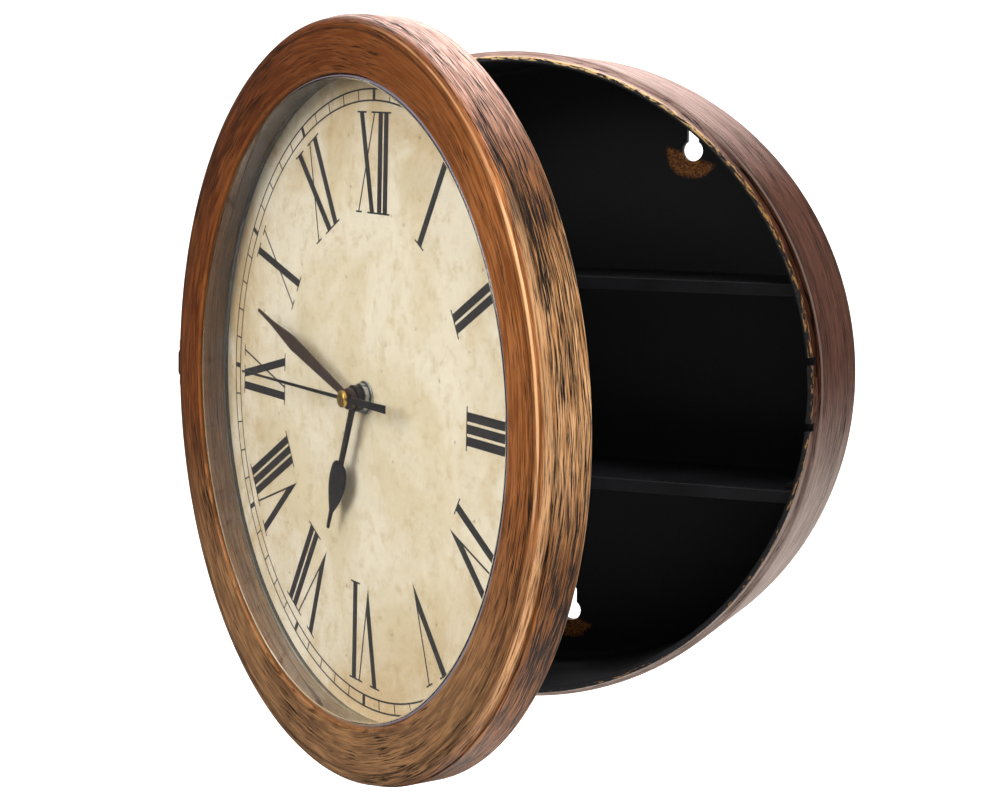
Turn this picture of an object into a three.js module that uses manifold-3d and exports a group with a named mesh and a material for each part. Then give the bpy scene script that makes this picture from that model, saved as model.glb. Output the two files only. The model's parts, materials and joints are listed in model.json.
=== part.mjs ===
// A wall clock whose hinged face hides three shelved compartments.
// Millimetres, +Z up. The origin is the centre of the flat back, with the wall at +Y and the dial towards -Y.
// The door is drawn closed, then swung open about its pin, which is how the object rests here.

import * as THREE from 'three';
import { mergeVertices } from 'three/addons/utils/BufferGeometryUtils.js';
import Module from 'manifold-3d';

const wasm = await Module();
wasm.setup();

// Case drum, with the set-in lip that the door closes over
const DRUM_RADIUS = 118.2;
const DRUM_WALL = 2.8;
const DRUM_BACK_ROUND = 2.5;
const BACK_WALL = 2.5;
const SEAM_DEPTH = 52.5;
const LIP_LENGTH = 5.5;
const LIP_STEP = 2.0;
const LIP_WALL = 2.2;
const LIP_BLEND = 2.0;
const LIP_CHAMFER = 0.5;

// Keyholes in the back wall, each a round entry below a narrow slot
const KEYHOLE_ENTRY_RADIUS = 4.0;
const KEYHOLE_SLOT_WIDTH = 4.5;
const KEYHOLE_RISE = 7.8;
const TOP_KEYHOLE_X = 54;
const TOP_KEYHOLE_Z = 83;
const LOW_KEYHOLE_X = 7.5;
const LOW_KEYHOLE_Z = -96.5;

// Shelves and the moulded rails that they slide into
const SHELF_OFFSET = 36.5;
const SHELF_THICKNESS = 2.0;
const SHELF_LIP_HEIGHT = 4.6;
const SHELF_LIP_WALL = 1.8;
const SHELF_EDGE_ROUND = 0.7;
const SHELF_CLEARANCE = 0.3;
const SHELF_SIDE_CLEARANCE = 0.6;
const SHELF_DOOR_GAP = 5.2;
const RAIL_THICKNESS = 1.6;
const RAIL_BITE = 4.0;
const RAIL_END_GAP = 2.5;

// Spring catch: a tab between two slots of the lip, and the hooked tongue on the door
const CATCH_TAB_WIDTH = 20;
const CATCH_SLOT_WIDTH = 2.9;
const CATCH_TAB_SETBACK = 1.2;
const CATCH_BUMP_WIDTH = 12;
const CATCH_BUMP_HEIGHT = 0.9;
const CATCH_BUMP_LENGTH = 1.6;
const CATCH_BUMP_FROM_TAB_END = 0.3;
const CATCH_CLEARANCE = 0.35;
const TONGUE_WIDTH = 18;
const TONGUE_WALL = 1.8;
const TONGUE_BARB_LENGTH = 1.3;

// Hinge at nine o'clock: two case arms, one door knuckle between them, one pin
const OPEN_ANGLE_DEG = 35;
const HINGE_STANDOFF = 1.0;
const HINGE_AHEAD = 13.5;
const PIN_RADIUS = 0.9;
const PIN_HEAD_RADIUS = 1.6;
const PIN_HEAD_HEIGHT = 0.8;
const PIN_FIT = 0.15;
const PIN_RUNNING_CLEARANCE = 0.3;
const KNUCKLE_RADIUS = 2.4;
const KNUCKLE_HALF_LENGTH = 5.0;
const KNUCKLE_TAPER = 1.2;
const KNUCKLE_END_RADIUS = 1.9;
const ARM_BARREL_RADIUS = 2.0;
const ARM_WIDTH = 3.2;
const ARM_WALL = 2.4;
const ARM_FOOT_WALL = 3.0;
const ARM_GAP = 0.3;
const ARM_NOTCH_CLEARANCE = 0.5;

// Door moulding: skirt, grooved ridge, domed face and throat
const DOOR_OVERHANG = 8.1;
const SKIRT_WALL = 2.4;
const SKIRT_LENGTH = 12.1;
const SKIRT_CHAMFER = 0.5;
const GROOVE_DEPTH = 0.9;
const GROOVE_WIDTH = 0.8;
const BEAD_WIDTH = 1.0;
const BEAD_SETBACK = 0.4;
const RIDGE_RADIUS = 2.9;
const RIDGE_SETBACK = 0.65;
const FACE_RISE = 0.55;
const FACE_DROP = 0.5;
const FACE_WALL = 2.0;
const THROAT_WALL = 2.0;
const THROAT_FLARE = 2.2;
const THROAT_EDGE_ROUND = 1.0;
const DOOR_RIB_COUNT = 12;
const DOOR_RIB_WALL = 1.6;

// Back pan of the door, held on by screws
const PAN_LIP_CLEARANCE = 0.8;
const PAN_WALL = 1.6;
const PAN_FLOOR = 2.0;
const PAN_SEAT_GAP = 0.4;
const PAN_SKIRT_CLEARANCE = 1.0;
const CRADLE_WALL = 1.5;
const CRADLE_HEIGHT = 2.0;
const SCREW_COUNT = 6;
const SCREW_HEAD_RADIUS = 2.4;
const SCREW_HEAD_HEIGHT = 1.7;
const SCREW_CROWN_RADIUS = 1.7;
const SCREW_CROWN_HEIGHT = 0.8;
const SCREW_SHANK_RADIUS = 1.2;
const SCREW_LENGTH = 6.0;
const BOSS_WALL = 1.5;
const BOSS_FLOOR = 0.8;

// Dial and lens
const DIAL_HEIGHT = 3.5;
const DIAL_THICKNESS = 1.2;
const LENS_WALL = 1.2;
const LENS_CORNER = 1.4;
const LENS_SETBACK = 1.3;
const LENS_SIDE_CLEARANCE = 0.5;

// Gap kept between pieces that rest on each other
const SEAT_GAP = 0.3;

// Quartz movement
const MOVEMENT_CORNER = 4;
const MOVEMENT_DEPTH = 17;
const MOVEMENT_FRONT_PLATE = 1.5;
const RUBBER_WASHER_RADIUS = 10;
const RUBBER_WASHER_THICKNESS = 0.8;
const BUSHING_RADIUS = 3.9;
const BUSHING_WALL = 1.0;
const BUSHING_CLEARANCE = 0.5;
const METAL_WASHER_RADIUS = 5.6;
const METAL_WASHER_THICKNESS = 0.5;
const NUT_RADIUS = 4.9;
const NUT_THICKNESS = 1.5;
const NUT_SLOT_COUNT = 6;
const NUT_SLOT_WIDTH = 1.0;
const NUT_SLOT_DEPTH = 0.5;
const BUSHING_PAST_NUT = 0.4;

// Motion work: cannon pinion, motion wheel with its pinion, hour wheel
const GEAR_MODULE = 0.4;
const CANNON_TEETH = 10;
const MOTION_WHEEL_TEETH = 30;
const MOTION_PINION_TEETH = 8;
const HOUR_WHEEL_TEETH = 32;
const PRESSURE_ANGLE = THREE.MathUtils.degToRad(20);
const PINION_ADDENDUM = 0.8;
const WHEEL_ADDENDUM = 0.5;
const DEDENDUM = 1.1;
const TOOTH_THINNING = 0.06;
const WHEEL_THICKNESS = 1.0;
const WHEEL_SPACING = 0.4;
const PINION_FACE = 1.4;
const PINION_ROOT = 0.5;
const GEAR_SIDE_CLEARANCE = 1.0;
const TUBE_WALL = 0.7;
const TUBE_CLEARANCE = 0.3;
const SECOND_ARBOR_RADIUS = 0.5;
const SECOND_WHEEL_RADIUS = 5.5;
const MOTION_ARBOR_RADIUS = 0.8;
const PIVOT_LENGTH = 0.9;
const KNOB_RADIUS = 6;
const KNOB_THICKNESS = 3.2;
const KNOB_FLUTES = 14;
const KNOB_FLUTE_RADIUS = 1.0;
const KNOB_FLUTE_DEPTH = 0.5;
const KNOB_FLUTE_FACETS = 6;
const KNOB_BORE_DEPTH = 1.9;

// Battery and its contacts
const BATTERY_RADIUS = 7.1;
const BATTERY_LENGTH = 49.2;
const BATTERY_NUB_RADIUS = 2.7;
const BATTERY_NUB_HEIGHT = 1.2;
const BATTERY_CLEARANCE = 0.5;
const BATTERY_TO_EDGE = 10;
const BATTERY_PROUD = 0.6;
const BAY_END_WALL = 1.2;
const CONTACT_WALL = 0.4;
const CONTACT_WIDTH = 8;
const CONTACT_SPRING = 1.2;

// Hands, with their angles clockwise from twelve
const HOUR_HAND_DEG = 202;
const MINUTE_HAND_DEG = 289.5;
const SECOND_HAND_DEG = 271;
const HOUR_HAND_LENGTH = 50;
const MINUTE_HAND_LENGTH = 73;
const SECOND_HAND_LENGTH = 79;
const SECOND_TAIL_LENGTH = 27;
const HAND_THICKNESS = 0.6;

// Outlines of the hands: half widths, and how far from the centre they are
const HOUR_ROOT_HALF = 1.65;
const HOUR_STEM_HALF = 1.45;
const HOUR_STEM_END = 25;
const HOUR_BULB_HALF = 5.4;
const HOUR_BULB_AT = 31.5;
const HOUR_SHOULDER_AT = 36.5;
const HOUR_NECK_HALF = 1.0;
const HOUR_NECK_AT = 43.5;
const HOUR_TIP_HALF = 0.6;
const MINUTE_ROOT_HALF = 1.3;
const MINUTE_WIDEST_HALF = 2.65;
const MINUTE_WIDEST_AT = 44.5;
const MINUTE_NECK_HALF = 0.95;
const MINUTE_NECK_AT = 61.5;
const MINUTE_TIP_HALF = 0.5;
const SECOND_TAIL_END_HALF = 1.35;
const SECOND_TAIL_ROOT_HALF = 1.0;
const SECOND_ROOT_HALF = 0.65;
const SECOND_TIP_HALF = 0.35;

// Collets, hub and cap of the hands
const COLLET_LENGTH = 1.6;
const HAND_GAP = 0.4;
const HOUR_COLLET_RADIUS = 4.5;
const MINUTE_COLLET_RADIUS = 3.6;
const SECOND_HUB_RADIUS = 1.7;
const CAP_RADIUS = 2.8;
const CAP_HEIGHT = 1.6;
const CAP_BORE_DEPTH = 0.8;
const ARBOR_IN_CAP = 0.4;

// Facets of a full turn, on large rims and on small round pieces
const RIM_FACETS = 48;
const SMALL_FACETS = 18;
const TINY_FACETS = 12;
const CORNER_STEPS = 3;
const CURVE_STEPS = 5;

// Cutting tools run this far past the material
const CUT_PAST = 1;

// Sizes that follow from the ones above
const LIP_RADIUS = DRUM_RADIUS - LIP_STEP;
const LIP_INNER_RADIUS = LIP_RADIUS - LIP_WALL;
const DRUM_INNER_RADIUS = DRUM_RADIUS - DRUM_WALL;
const LIP_DEPTH = SEAM_DEPTH + LIP_LENGTH;

const DOOR_RADIUS = DRUM_RADIUS + DOOR_OVERHANG;
const SKIRT_INNER_RADIUS = DOOR_RADIUS - SKIRT_WALL;
const PAN_CUP_RADIUS = LIP_INNER_RADIUS - PAN_LIP_CLEARANCE;
const PAN_CUP_INNER_RADIUS = PAN_CUP_RADIUS - PAN_WALL;
const PAN_FLANGE_RADIUS = SKIRT_INNER_RADIUS - PAN_SKIRT_CLEARANCE;
const THROAT_OUTER_RADIUS = PAN_CUP_INNER_RADIUS - SEAT_GAP;
const THROAT_BACK_RADIUS = THROAT_OUTER_RADIUS - THROAT_WALL;
const OPENING_RADIUS = THROAT_BACK_RADIUS - THROAT_FLARE;
const DIAL_RADIUS = PAN_CUP_INNER_RADIUS - SEAT_GAP;
const SCREW_CIRCLE_RADIUS = (LIP_RADIUS + SKIRT_INNER_RADIUS) / 2;

// Heights on the door count forward from the seam, where its back edge lies when closed
const DIAL_FRONT = DIAL_HEIGHT;
const DIAL_BACK = DIAL_FRONT - DIAL_THICKNESS;
const PAN_FRONT = DIAL_BACK - SEAT_GAP;
const PAN_BACK = PAN_FRONT - PAN_FLOOR;
const CHANNEL_FLOOR = LIP_LENGTH + PAN_SEAT_GAP;
const PAN_FLANGE_FRONT = CHANNEL_FLOOR + PAN_WALL;
const BOSS_END = PAN_FLANGE_FRONT + SEAT_GAP;
const LENS_BACK = DIAL_FRONT + SEAT_GAP;
const LENS_FLANGE_FRONT = LENS_BACK + LENS_WALL;
const THROAT_END = LENS_FLANGE_FRONT + SEAT_GAP;
const RIDGE_CENTRE = SKIRT_LENGTH + GROOVE_WIDTH + BEAD_WIDTH + GROOVE_DEPTH / 2;
const RIDGE_TOP = RIDGE_CENTRE + RIDGE_RADIUS;
const FACE_INNER_HEIGHT = RIDGE_TOP - FACE_DROP;
const LENS_FRONT = RIDGE_TOP - LENS_SETBACK;
const LENS_INSIDE = LENS_FRONT - LENS_WALL;

const WASHER_BACK = PAN_BACK - SEAT_GAP - RUBBER_WASHER_THICKNESS;
const MOVEMENT_FRONT = WASHER_BACK - SEAT_GAP;
const MOVEMENT_PLATE_BACK = MOVEMENT_FRONT - MOVEMENT_FRONT_PLATE;
const MOVEMENT_BACK = MOVEMENT_FRONT - MOVEMENT_DEPTH;
const BAY_LENGTH = BATTERY_LENGTH + BATTERY_NUB_HEIGHT + CONTACT_SPRING + 2 * CONTACT_WALL + 4 * SEAT_GAP;
const MOVEMENT_SIDE = BAY_LENGTH + 2 * BAY_END_WALL;
const METAL_WASHER_BACK = DIAL_FRONT + SEAT_GAP;
const NUT_BACK = METAL_WASHER_BACK + METAL_WASHER_THICKNESS + SEAT_GAP;
const BUSHING_END = NUT_BACK + NUT_THICKNESS + BUSHING_PAST_NUT;
const BUSHING_BORE = BUSHING_RADIUS - BUSHING_WALL;
const HOUR_TUBE_RADIUS = BUSHING_BORE - TUBE_CLEARANCE;
const HOUR_TUBE_BORE = HOUR_TUBE_RADIUS - TUBE_WALL;
const CANNON_RADIUS = HOUR_TUBE_BORE - TUBE_CLEARANCE;
const CANNON_BORE = SECOND_ARBOR_RADIUS + TUBE_CLEARANCE;

const HOUR_COLLET_BACK = BUSHING_END + HAND_GAP;
const MINUTE_COLLET_BACK = HOUR_COLLET_BACK + COLLET_LENGTH + HAND_GAP;
const SECOND_HUB_BACK = MINUTE_COLLET_BACK + COLLET_LENGTH + HAND_GAP;
const CAP_BACK = SECOND_HUB_BACK + HAND_THICKNESS + SEAT_GAP;

const HOUR_WHEEL_FRONT = MOVEMENT_PLATE_BACK - WHEEL_SPACING;
const HOUR_WHEEL_BACK = HOUR_WHEEL_FRONT - WHEEL_THICKNESS;
const MOTION_WHEEL_FRONT = HOUR_WHEEL_BACK - PINION_FACE;
const MOTION_WHEEL_BACK = MOTION_WHEEL_FRONT - WHEEL_THICKNESS;
const CANNON_PINION_FRONT = MOTION_WHEEL_FRONT + WHEEL_SPACING / 2;
const CANNON_PINION_BACK = CANNON_PINION_FRONT - PINION_FACE;
const SECOND_WHEEL_FRONT = CANNON_PINION_BACK - WHEEL_SPACING;
const SECOND_WHEEL_BACK = SECOND_WHEEL_FRONT - WHEEL_THICKNESS;
const GEAR_CAVITY_BACK = SECOND_WHEEL_BACK - WHEEL_SPACING;
const MOTION_ARBOR_Z = GEAR_MODULE * (CANNON_TEETH + MOTION_WHEEL_TEETH) / 2;
const KNOB_FRONT = MOVEMENT_BACK - SEAT_GAP;
const BATTERY_AXIS = MOVEMENT_BACK + BATTERY_RADIUS - BATTERY_PROUD;
const BATTERY_Z = BATTERY_TO_EDGE - MOVEMENT_SIDE / 2;

const HINGE_X = -(DOOR_RADIUS + HINGE_STANDOFF);
const HINGE_Y = -(SEAM_DEPTH + HINGE_AHEAD);
const ARM_INNER_Z = KNUCKLE_HALF_LENGTH + ARM_GAP;
const ARM_OUTER_Z = ARM_INNER_Z + ARM_WIDTH;
const NOTCH_END_Z = ARM_OUTER_Z + PIN_HEAD_HEIGHT + 2 * ARM_GAP;

function doorY(ahead) {
  return -SEAM_DEPTH - ahead;
}

const SHELF_FRONT_Y = doorY(PAN_BACK) + SHELF_DOOR_GAP;
const SHELF_BACK_Y = -(BACK_WALL + SHELF_CLEARANCE);

// Working with solids
function facingOut(positions, triangles) {
  let volume = 0;
  const a = new THREE.Vector3();
  const b = new THREE.Vector3();
  const c = new THREE.Vector3();
  for (let i = 0; i < triangles.length; i += 3) {
    a.fromArray(positions, 3 * triangles[i]);
    b.fromArray(positions, 3 * triangles[i + 1]);
    c.fromArray(positions, 3 * triangles[i + 2]);
    volume += a.dot(b.cross(c));
  }
  if (volume > 0) {
    return triangles;
  }
  return triangles.map((_, i) => triangles[i - (i % 3) + 2 - (i % 3)]);
}

function solid(geometry) {
  const bare = geometry.clone();
  bare.deleteAttribute('normal');
  bare.deleteAttribute('uv');
  const merged = mergeVertices(bare);
  const index = merged.index.array;
  const triangles = [];
  for (let i = 0; i < index.length; i += 3) {
    const corners = [index[i], index[i + 1], index[i + 2]];
    if (new Set(corners).size === 3) {
      triangles.push(...corners);
    }
  }
  const positions = merged.attributes.position.array;
  return new wasm.Manifold(new wasm.Mesh({
    numProp: 3,
    vertProperties: new Float32Array(positions),
    triVerts: new Uint32Array(facingOut(positions, triangles)),
  }));
}

function geometryOf(body) {
  const { vertProperties, triVerts, numProp } = body.getMesh();
  const geometry = new THREE.BufferGeometry();
  geometry.setAttribute('position', new THREE.BufferAttribute(new Float32Array(vertProperties), numProp));
  geometry.setIndex(new THREE.BufferAttribute(new Uint32Array(triVerts), 1));
  geometry.computeVertexNormals();
  return geometry;
}

function fuse(bodies) {
  return bodies.reduce((whole, body) => whole.add(body));
}

function cut(body, tools) {
  return tools.reduce((rest, tool) => rest.subtract(tool), body);
}

// A profile of [radius, y] points turned about the Y axis
function revolve(profile, facets = RIM_FACETS) {
  return solid(new THREE.LatheGeometry(profile.map(([r, y]) => new THREE.Vector2(r, y)), facets));
}

// The same for door pieces, whose profiles hold [radius, height ahead of the seam]
function revolveDoor(profile, facets = RIM_FACETS) {
  return revolve(profile.map(([r, ahead]) => [r, doorY(ahead)]), facets);
}

// A closed ring or tube of the door between two heights
function doorTube(outer, inner, back, front, facets) {
  return revolveDoor([[inner, back], [outer, back], [outer, front], [inner, front], [inner, back]], facets);
}

function doorDisc(radius, back, front, facets) {
  return revolveDoor([[0, back], [radius, back], [radius, front], [0, front]], facets);
}

function block([x0, x1], [y0, y1], [z0, z1]) {
  const box = new THREE.BoxGeometry(Math.abs(x1 - x0), Math.abs(y1 - y0), Math.abs(z1 - z0));
  return solid(box.translate((x0 + x1) / 2, (y0 + y1) / 2, (z0 + z1) / 2));
}

// An outline in the dial's plane, given its thickness between two y values
function slab(shape, y0, y1, curveSegments = 8) {
  const depth = Math.abs(y1 - y0);
  const sheet = new THREE.ExtrudeGeometry(shape, { depth, bevelEnabled: false, curveSegments });
  return solid(sheet.rotateX(Math.PI / 2).translate(0, Math.max(y0, y1), 0));
}

function doorSlab(shape, back, front, curveSegments) {
  return slab(shape, doorY(back), doorY(front), curveSegments);
}

// An outline in a level plane, given its height between two z values
function upright(shape, z0, z1, curveSegments = 8) {
  const sheet = new THREE.ExtrudeGeometry(shape, { depth: z1 - z0, bevelEnabled: false, curveSegments });
  return solid(sheet.translate(0, 0, z0));
}

function levelRod(radius, x, z, y0, y1, facets = SMALL_FACETS) {
  const rod = new THREE.CylinderGeometry(radius, radius, Math.abs(y1 - y0), facets);
  return solid(rod.translate(x, (y0 + y1) / 2, z));
}

function arc(centreR, centreH, radius, fromDeg, toDeg, steps) {
  const points = [];
  for (let i = 0; i <= steps; i += 1) {
    const angle = THREE.MathUtils.degToRad(fromDeg + (toDeg - fromDeg) * i / steps);
    points.push([centreR + radius * Math.cos(angle), centreH + radius * Math.sin(angle)]);
  }
  return points;
}

function bend(from, through, to, steps) {
  const curve = new THREE.QuadraticBezierCurve(
    new THREE.Vector2(...from), new THREE.Vector2(...through), new THREE.Vector2(...to));
  return curve.getPoints(steps).map((point) => [point.x, point.y]);
}

function aroundDial(count, firstDeg, make) {
  return Array.from({ length: count }, (_, i) => make(THREE.MathUtils.degToRad(firstDeg + i * 360 / count)));
}

function turnedAboutDial(body, angle) {
  return body.rotate([0, THREE.MathUtils.radToDeg(angle), 0]);
}

// The part of a ring that faces three o'clock, as wide as asked
function ringSector(profile, width) {
  const window = block([0, DOOR_RADIUS], [0, -2 * LIP_DEPTH], [-width / 2, width / 2]);
  return revolve(profile).intersect(window);
}

// Case
function drumShell() {
  const inset = LIP_CHAMFER;
  const round = DRUM_BACK_ROUND;
  return revolve([
    [0, 0],
    ...arc(DRUM_RADIUS - round, -round, round, 90, 0, CORNER_STEPS),
    [DRUM_RADIUS, -SEAM_DEPTH],
    [LIP_RADIUS, -SEAM_DEPTH],
    [LIP_RADIUS, -LIP_DEPTH + inset],
    [LIP_RADIUS - inset, -LIP_DEPTH],
    [LIP_INNER_RADIUS + inset, -LIP_DEPTH],
    [LIP_INNER_RADIUS, -LIP_DEPTH + inset],
    [LIP_INNER_RADIUS, -SEAM_DEPTH],
    [DRUM_INNER_RADIUS, -SEAM_DEPTH + LIP_BLEND],
    ...arc(DRUM_INNER_RADIUS - round, -BACK_WALL - round, round, 0, 90, CORNER_STEPS),
    [0, -BACK_WALL],
  ]);
}

function keyhole(x, z) {
  const half = KEYHOLE_SLOT_WIDTH / 2;
  const meet = Math.acos(half / KEYHOLE_ENTRY_RADIUS);
  const shape = new THREE.Shape();
  shape.absarc(x, z, KEYHOLE_ENTRY_RADIUS, Math.PI - meet, 2 * Math.PI + meet, false);
  shape.absarc(x, z + KEYHOLE_RISE, half, 0, Math.PI, false);
  return slab(shape, CUT_PAST, -BACK_WALL - CUT_PAST);
}

function shelfRails(z) {
  const near = SHELF_THICKNESS / 2 + SHELF_CLEARANCE;
  const far = near + RAIL_THICKNESS;
  const rails = [];
  for (const side of [-1, 1]) {
    for (const [low, high] of [[near, far], [-far, -near]]) {
      const middle = z + (low + high) / 2;
      const wallX = Math.sqrt((DRUM_INNER_RADIUS + DRUM_WALL / 2) ** 2 - middle ** 2);
      const tipX = shelfHalfWidth(z) - RAIL_BITE;
      const endY = SHELF_FRONT_Y + SHELF_LIP_WALL + RAIL_END_GAP;
      rails.push(block([side * tipX, side * wallX], [-BACK_WALL / 2, endY], [z + low, z + high]));
    }
  }
  return rails;
}

function hingeArm(z0, z1) {
  const outline = new THREE.Shape();
  const footFrontY = -SEAM_DEPTH + ARM_GAP;
  const footBackY = footFrontY + ARM_FOOT_WALL;
  const rootX = -(DRUM_RADIUS - DRUM_WALL / 2);
  const legX = HINGE_X + ARM_WALL / 2;
  const outerX = HINGE_X - ARM_WALL / 2;
  outline.moveTo(legX, HINGE_Y);
  outline.lineTo(legX, footFrontY);
  outline.lineTo(rootX, footFrontY);
  outline.lineTo(rootX, footBackY + ARM_WALL);
  outline.lineTo(legX, footBackY);
  outline.lineTo(outerX + ARM_WALL / 2, footBackY);
  outline.absarc(outerX + ARM_WALL / 2, footBackY - ARM_WALL / 2, ARM_WALL / 2, Math.PI / 2, Math.PI, false);
  outline.lineTo(outerX, HINGE_Y);
  const barrel = new THREE.Shape();
  barrel.absarc(HINGE_X, HINGE_Y, ARM_BARREL_RADIUS, 0, 2 * Math.PI, false);
  return upright(outline, z0, z1, CORNER_STEPS).add(upright(barrel, z0, z1));
}

function hingeBore(radius) {
  const bore = new THREE.Shape();
  bore.absarc(HINGE_X, HINGE_Y, radius, 0, 2 * Math.PI, false);
  return upright(bore, -ARM_OUTER_Z - CUT_PAST, ARM_OUTER_Z + CUT_PAST, TINY_FACETS);
}

function catchBump() {
  const front = -(LIP_DEPTH - CATCH_TAB_SETBACK - CATCH_BUMP_FROM_TAB_END);
  const back = front + CATCH_BUMP_LENGTH;
  const root = LIP_RADIUS - LIP_WALL / 2;
  const crest = LIP_RADIUS + CATCH_BUMP_HEIGHT;
  return ringSector([
    [root, front],
    [LIP_RADIUS, front],
    [crest, (front + back) / 2],
    [crest, back],
    [root, back],
    [root, front],
  ], CATCH_BUMP_WIDTH);
}

function caseShell() {
  const slotStart = CATCH_TAB_WIDTH / 2;
  const slotEnd = slotStart + CATCH_SLOT_WIDTH;
  const lipBand = [LIP_INNER_RADIUS - LIP_WALL, DOOR_RADIUS];
  const slots = [-1, 1].map((side) => block(
    lipBand, [-SEAM_DEPTH, -LIP_DEPTH - CUT_PAST], [side * slotStart, side * slotEnd]));
  const tabEnd = block(
    lipBand, [-LIP_DEPTH + CATCH_TAB_SETBACK, -LIP_DEPTH - CUT_PAST], [-slotStart, slotStart]);
  const keyholes = [
    keyhole(-TOP_KEYHOLE_X, TOP_KEYHOLE_Z),
    keyhole(TOP_KEYHOLE_X, TOP_KEYHOLE_Z),
    keyhole(LOW_KEYHOLE_X, LOW_KEYHOLE_Z),
  ];
  const shell = cut(drumShell(), [...slots, tabEnd, ...keyholes]);
  const grown = fuse([
    shell,
    catchBump(),
    ...shelfRails(SHELF_OFFSET),
    ...shelfRails(-SHELF_OFFSET),
    hingeArm(ARM_INNER_Z, ARM_OUTER_Z),
    hingeArm(-ARM_OUTER_Z, -ARM_INNER_Z),
  ]);
  return cut(grown, [hingeBore(PIN_RADIUS + PIN_FIT)]);
}

function shelfHalfWidth(z) {
  const top = z + SHELF_THICKNESS / 2;
  const bottom = top - SHELF_LIP_HEIGHT;
  const widest = Math.max(Math.abs(top), Math.abs(bottom));
  return Math.sqrt(DRUM_INNER_RADIUS ** 2 - widest ** 2) - SHELF_SIDE_CLEARANCE;
}

// A flat shelf with a turned-down front edge, drawn from the side and run across the drum
function shelf(z) {
  const half = shelfHalfWidth(z);
  const top = SHELF_THICKNESS / 2;
  const side = new THREE.Shape();
  side.moveTo(SHELF_BACK_Y, top);
  side.lineTo(SHELF_BACK_Y, -top);
  side.lineTo(SHELF_FRONT_Y + SHELF_LIP_WALL, -top);
  side.lineTo(SHELF_FRONT_Y + SHELF_LIP_WALL, top - SHELF_LIP_HEIGHT);
  side.lineTo(SHELF_FRONT_Y, top - SHELF_LIP_HEIGHT);
  side.absarc(
    SHELF_FRONT_Y + SHELF_EDGE_ROUND, top - SHELF_EDGE_ROUND, SHELF_EDGE_ROUND, Math.PI, Math.PI / 2, true);
  const sheet = new THREE.ExtrudeGeometry(side, {
    depth: 2 * half, bevelEnabled: false, curveSegments: CORNER_STEPS });
  const acrossX = new THREE.Matrix4().makeBasis(
    new THREE.Vector3(0, 1, 0), new THREE.Vector3(0, 0, 1), new THREE.Vector3(1, 0, 0));
  const body = solid(sheet.applyMatrix4(acrossX).translate(-half, 0, z));
  const insideDrum = revolve([
    [0, 0],
    [DRUM_INNER_RADIUS - SHELF_SIDE_CLEARANCE, -DRUM_BACK_ROUND - BACK_WALL],
    [DRUM_INNER_RADIUS - SHELF_SIDE_CLEARANCE, -LIP_DEPTH],
    [0, -LIP_DEPTH],
  ]);
  return body.intersect(insideDrum);
}

function hingePin() {
  const reach = ARM_OUTER_Z + SEAT_GAP;
  return solid(new THREE.LatheGeometry([
    [0, -reach - PIN_HEAD_HEIGHT],
    [PIN_HEAD_RADIUS, -reach - PIN_HEAD_HEIGHT],
    [PIN_HEAD_RADIUS, -reach],
    [PIN_RADIUS, -reach],
    [PIN_RADIUS, reach],
    [PIN_HEAD_RADIUS, reach],
    [PIN_HEAD_RADIUS, reach + PIN_HEAD_HEIGHT],
    [0, reach + PIN_HEAD_HEIGHT],
  ].map(([r, z]) => new THREE.Vector2(r, z)), TINY_FACETS).rotateX(Math.PI / 2));
}

// Door
function bezelProfile() {
  const faceOuterRadius = DOOR_RADIUS - RIDGE_SETBACK - RIDGE_RADIUS;
  const faceInnerRadius = OPENING_RADIUS + THROAT_EDGE_ROUND;
  const beadBack = SKIRT_LENGTH + GROOVE_WIDTH;
  // The bend's middle point stands off the face twice as far as the face itself rises
  const face = bend(
    [faceOuterRadius, RIDGE_TOP],
    [(faceOuterRadius + faceInnerRadius) / 2, (RIDGE_TOP + FACE_INNER_HEIGHT) / 2 + 2 * FACE_RISE],
    [faceInnerRadius, FACE_INNER_HEIGHT], CURVE_STEPS);
  const edgeHeight = FACE_INNER_HEIGHT - THROAT_EDGE_ROUND;
  return [
    [SKIRT_INNER_RADIUS + SKIRT_CHAMFER, 0],
    [DOOR_RADIUS - SKIRT_CHAMFER, 0],
    [DOOR_RADIUS, SKIRT_CHAMFER],
    [DOOR_RADIUS, SKIRT_LENGTH],
    [DOOR_RADIUS - GROOVE_DEPTH, SKIRT_LENGTH + GROOVE_WIDTH / 2],
    [DOOR_RADIUS - BEAD_SETBACK, beadBack],
    [DOOR_RADIUS - BEAD_SETBACK, beadBack + BEAD_WIDTH / 2],
    [DOOR_RADIUS - GROOVE_DEPTH - BEAD_SETBACK, beadBack + BEAD_WIDTH],
    ...arc(faceOuterRadius, RIDGE_CENTRE, RIDGE_RADIUS, 0, 90, CORNER_STEPS),
    ...face.slice(1),
    ...arc(faceInnerRadius, edgeHeight, THROAT_EDGE_ROUND, 90, 180, CORNER_STEPS).slice(1),
    [THROAT_BACK_RADIUS, THROAT_END],
    [THROAT_OUTER_RADIUS, THROAT_END],
    [OPENING_RADIUS + THROAT_WALL + THROAT_EDGE_ROUND, FACE_INNER_HEIGHT - FACE_WALL - THROAT_EDGE_ROUND],
    [faceInnerRadius + 2 * FACE_WALL, FACE_INNER_HEIGHT - FACE_WALL],
    [faceOuterRadius, RIDGE_TOP - FACE_WALL],
    [SKIRT_INNER_RADIUS, SKIRT_LENGTH],
    [SKIRT_INNER_RADIUS, SKIRT_CHAMFER],
    [SKIRT_INNER_RADIUS + SKIRT_CHAMFER, 0],
  ];
}

function doorRib(angle) {
  const top = FACE_INNER_HEIGHT - FACE_WALL / 2;
  const rib = block(
    [THROAT_OUTER_RADIUS - THROAT_WALL / 2, SKIRT_INNER_RADIUS + SKIRT_WALL / 2],
    [doorY(BOSS_END), doorY(top)],
    [-DOOR_RIB_WALL / 2, DOOR_RIB_WALL / 2]);
  return turnedAboutDial(rib, angle);
}

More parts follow.
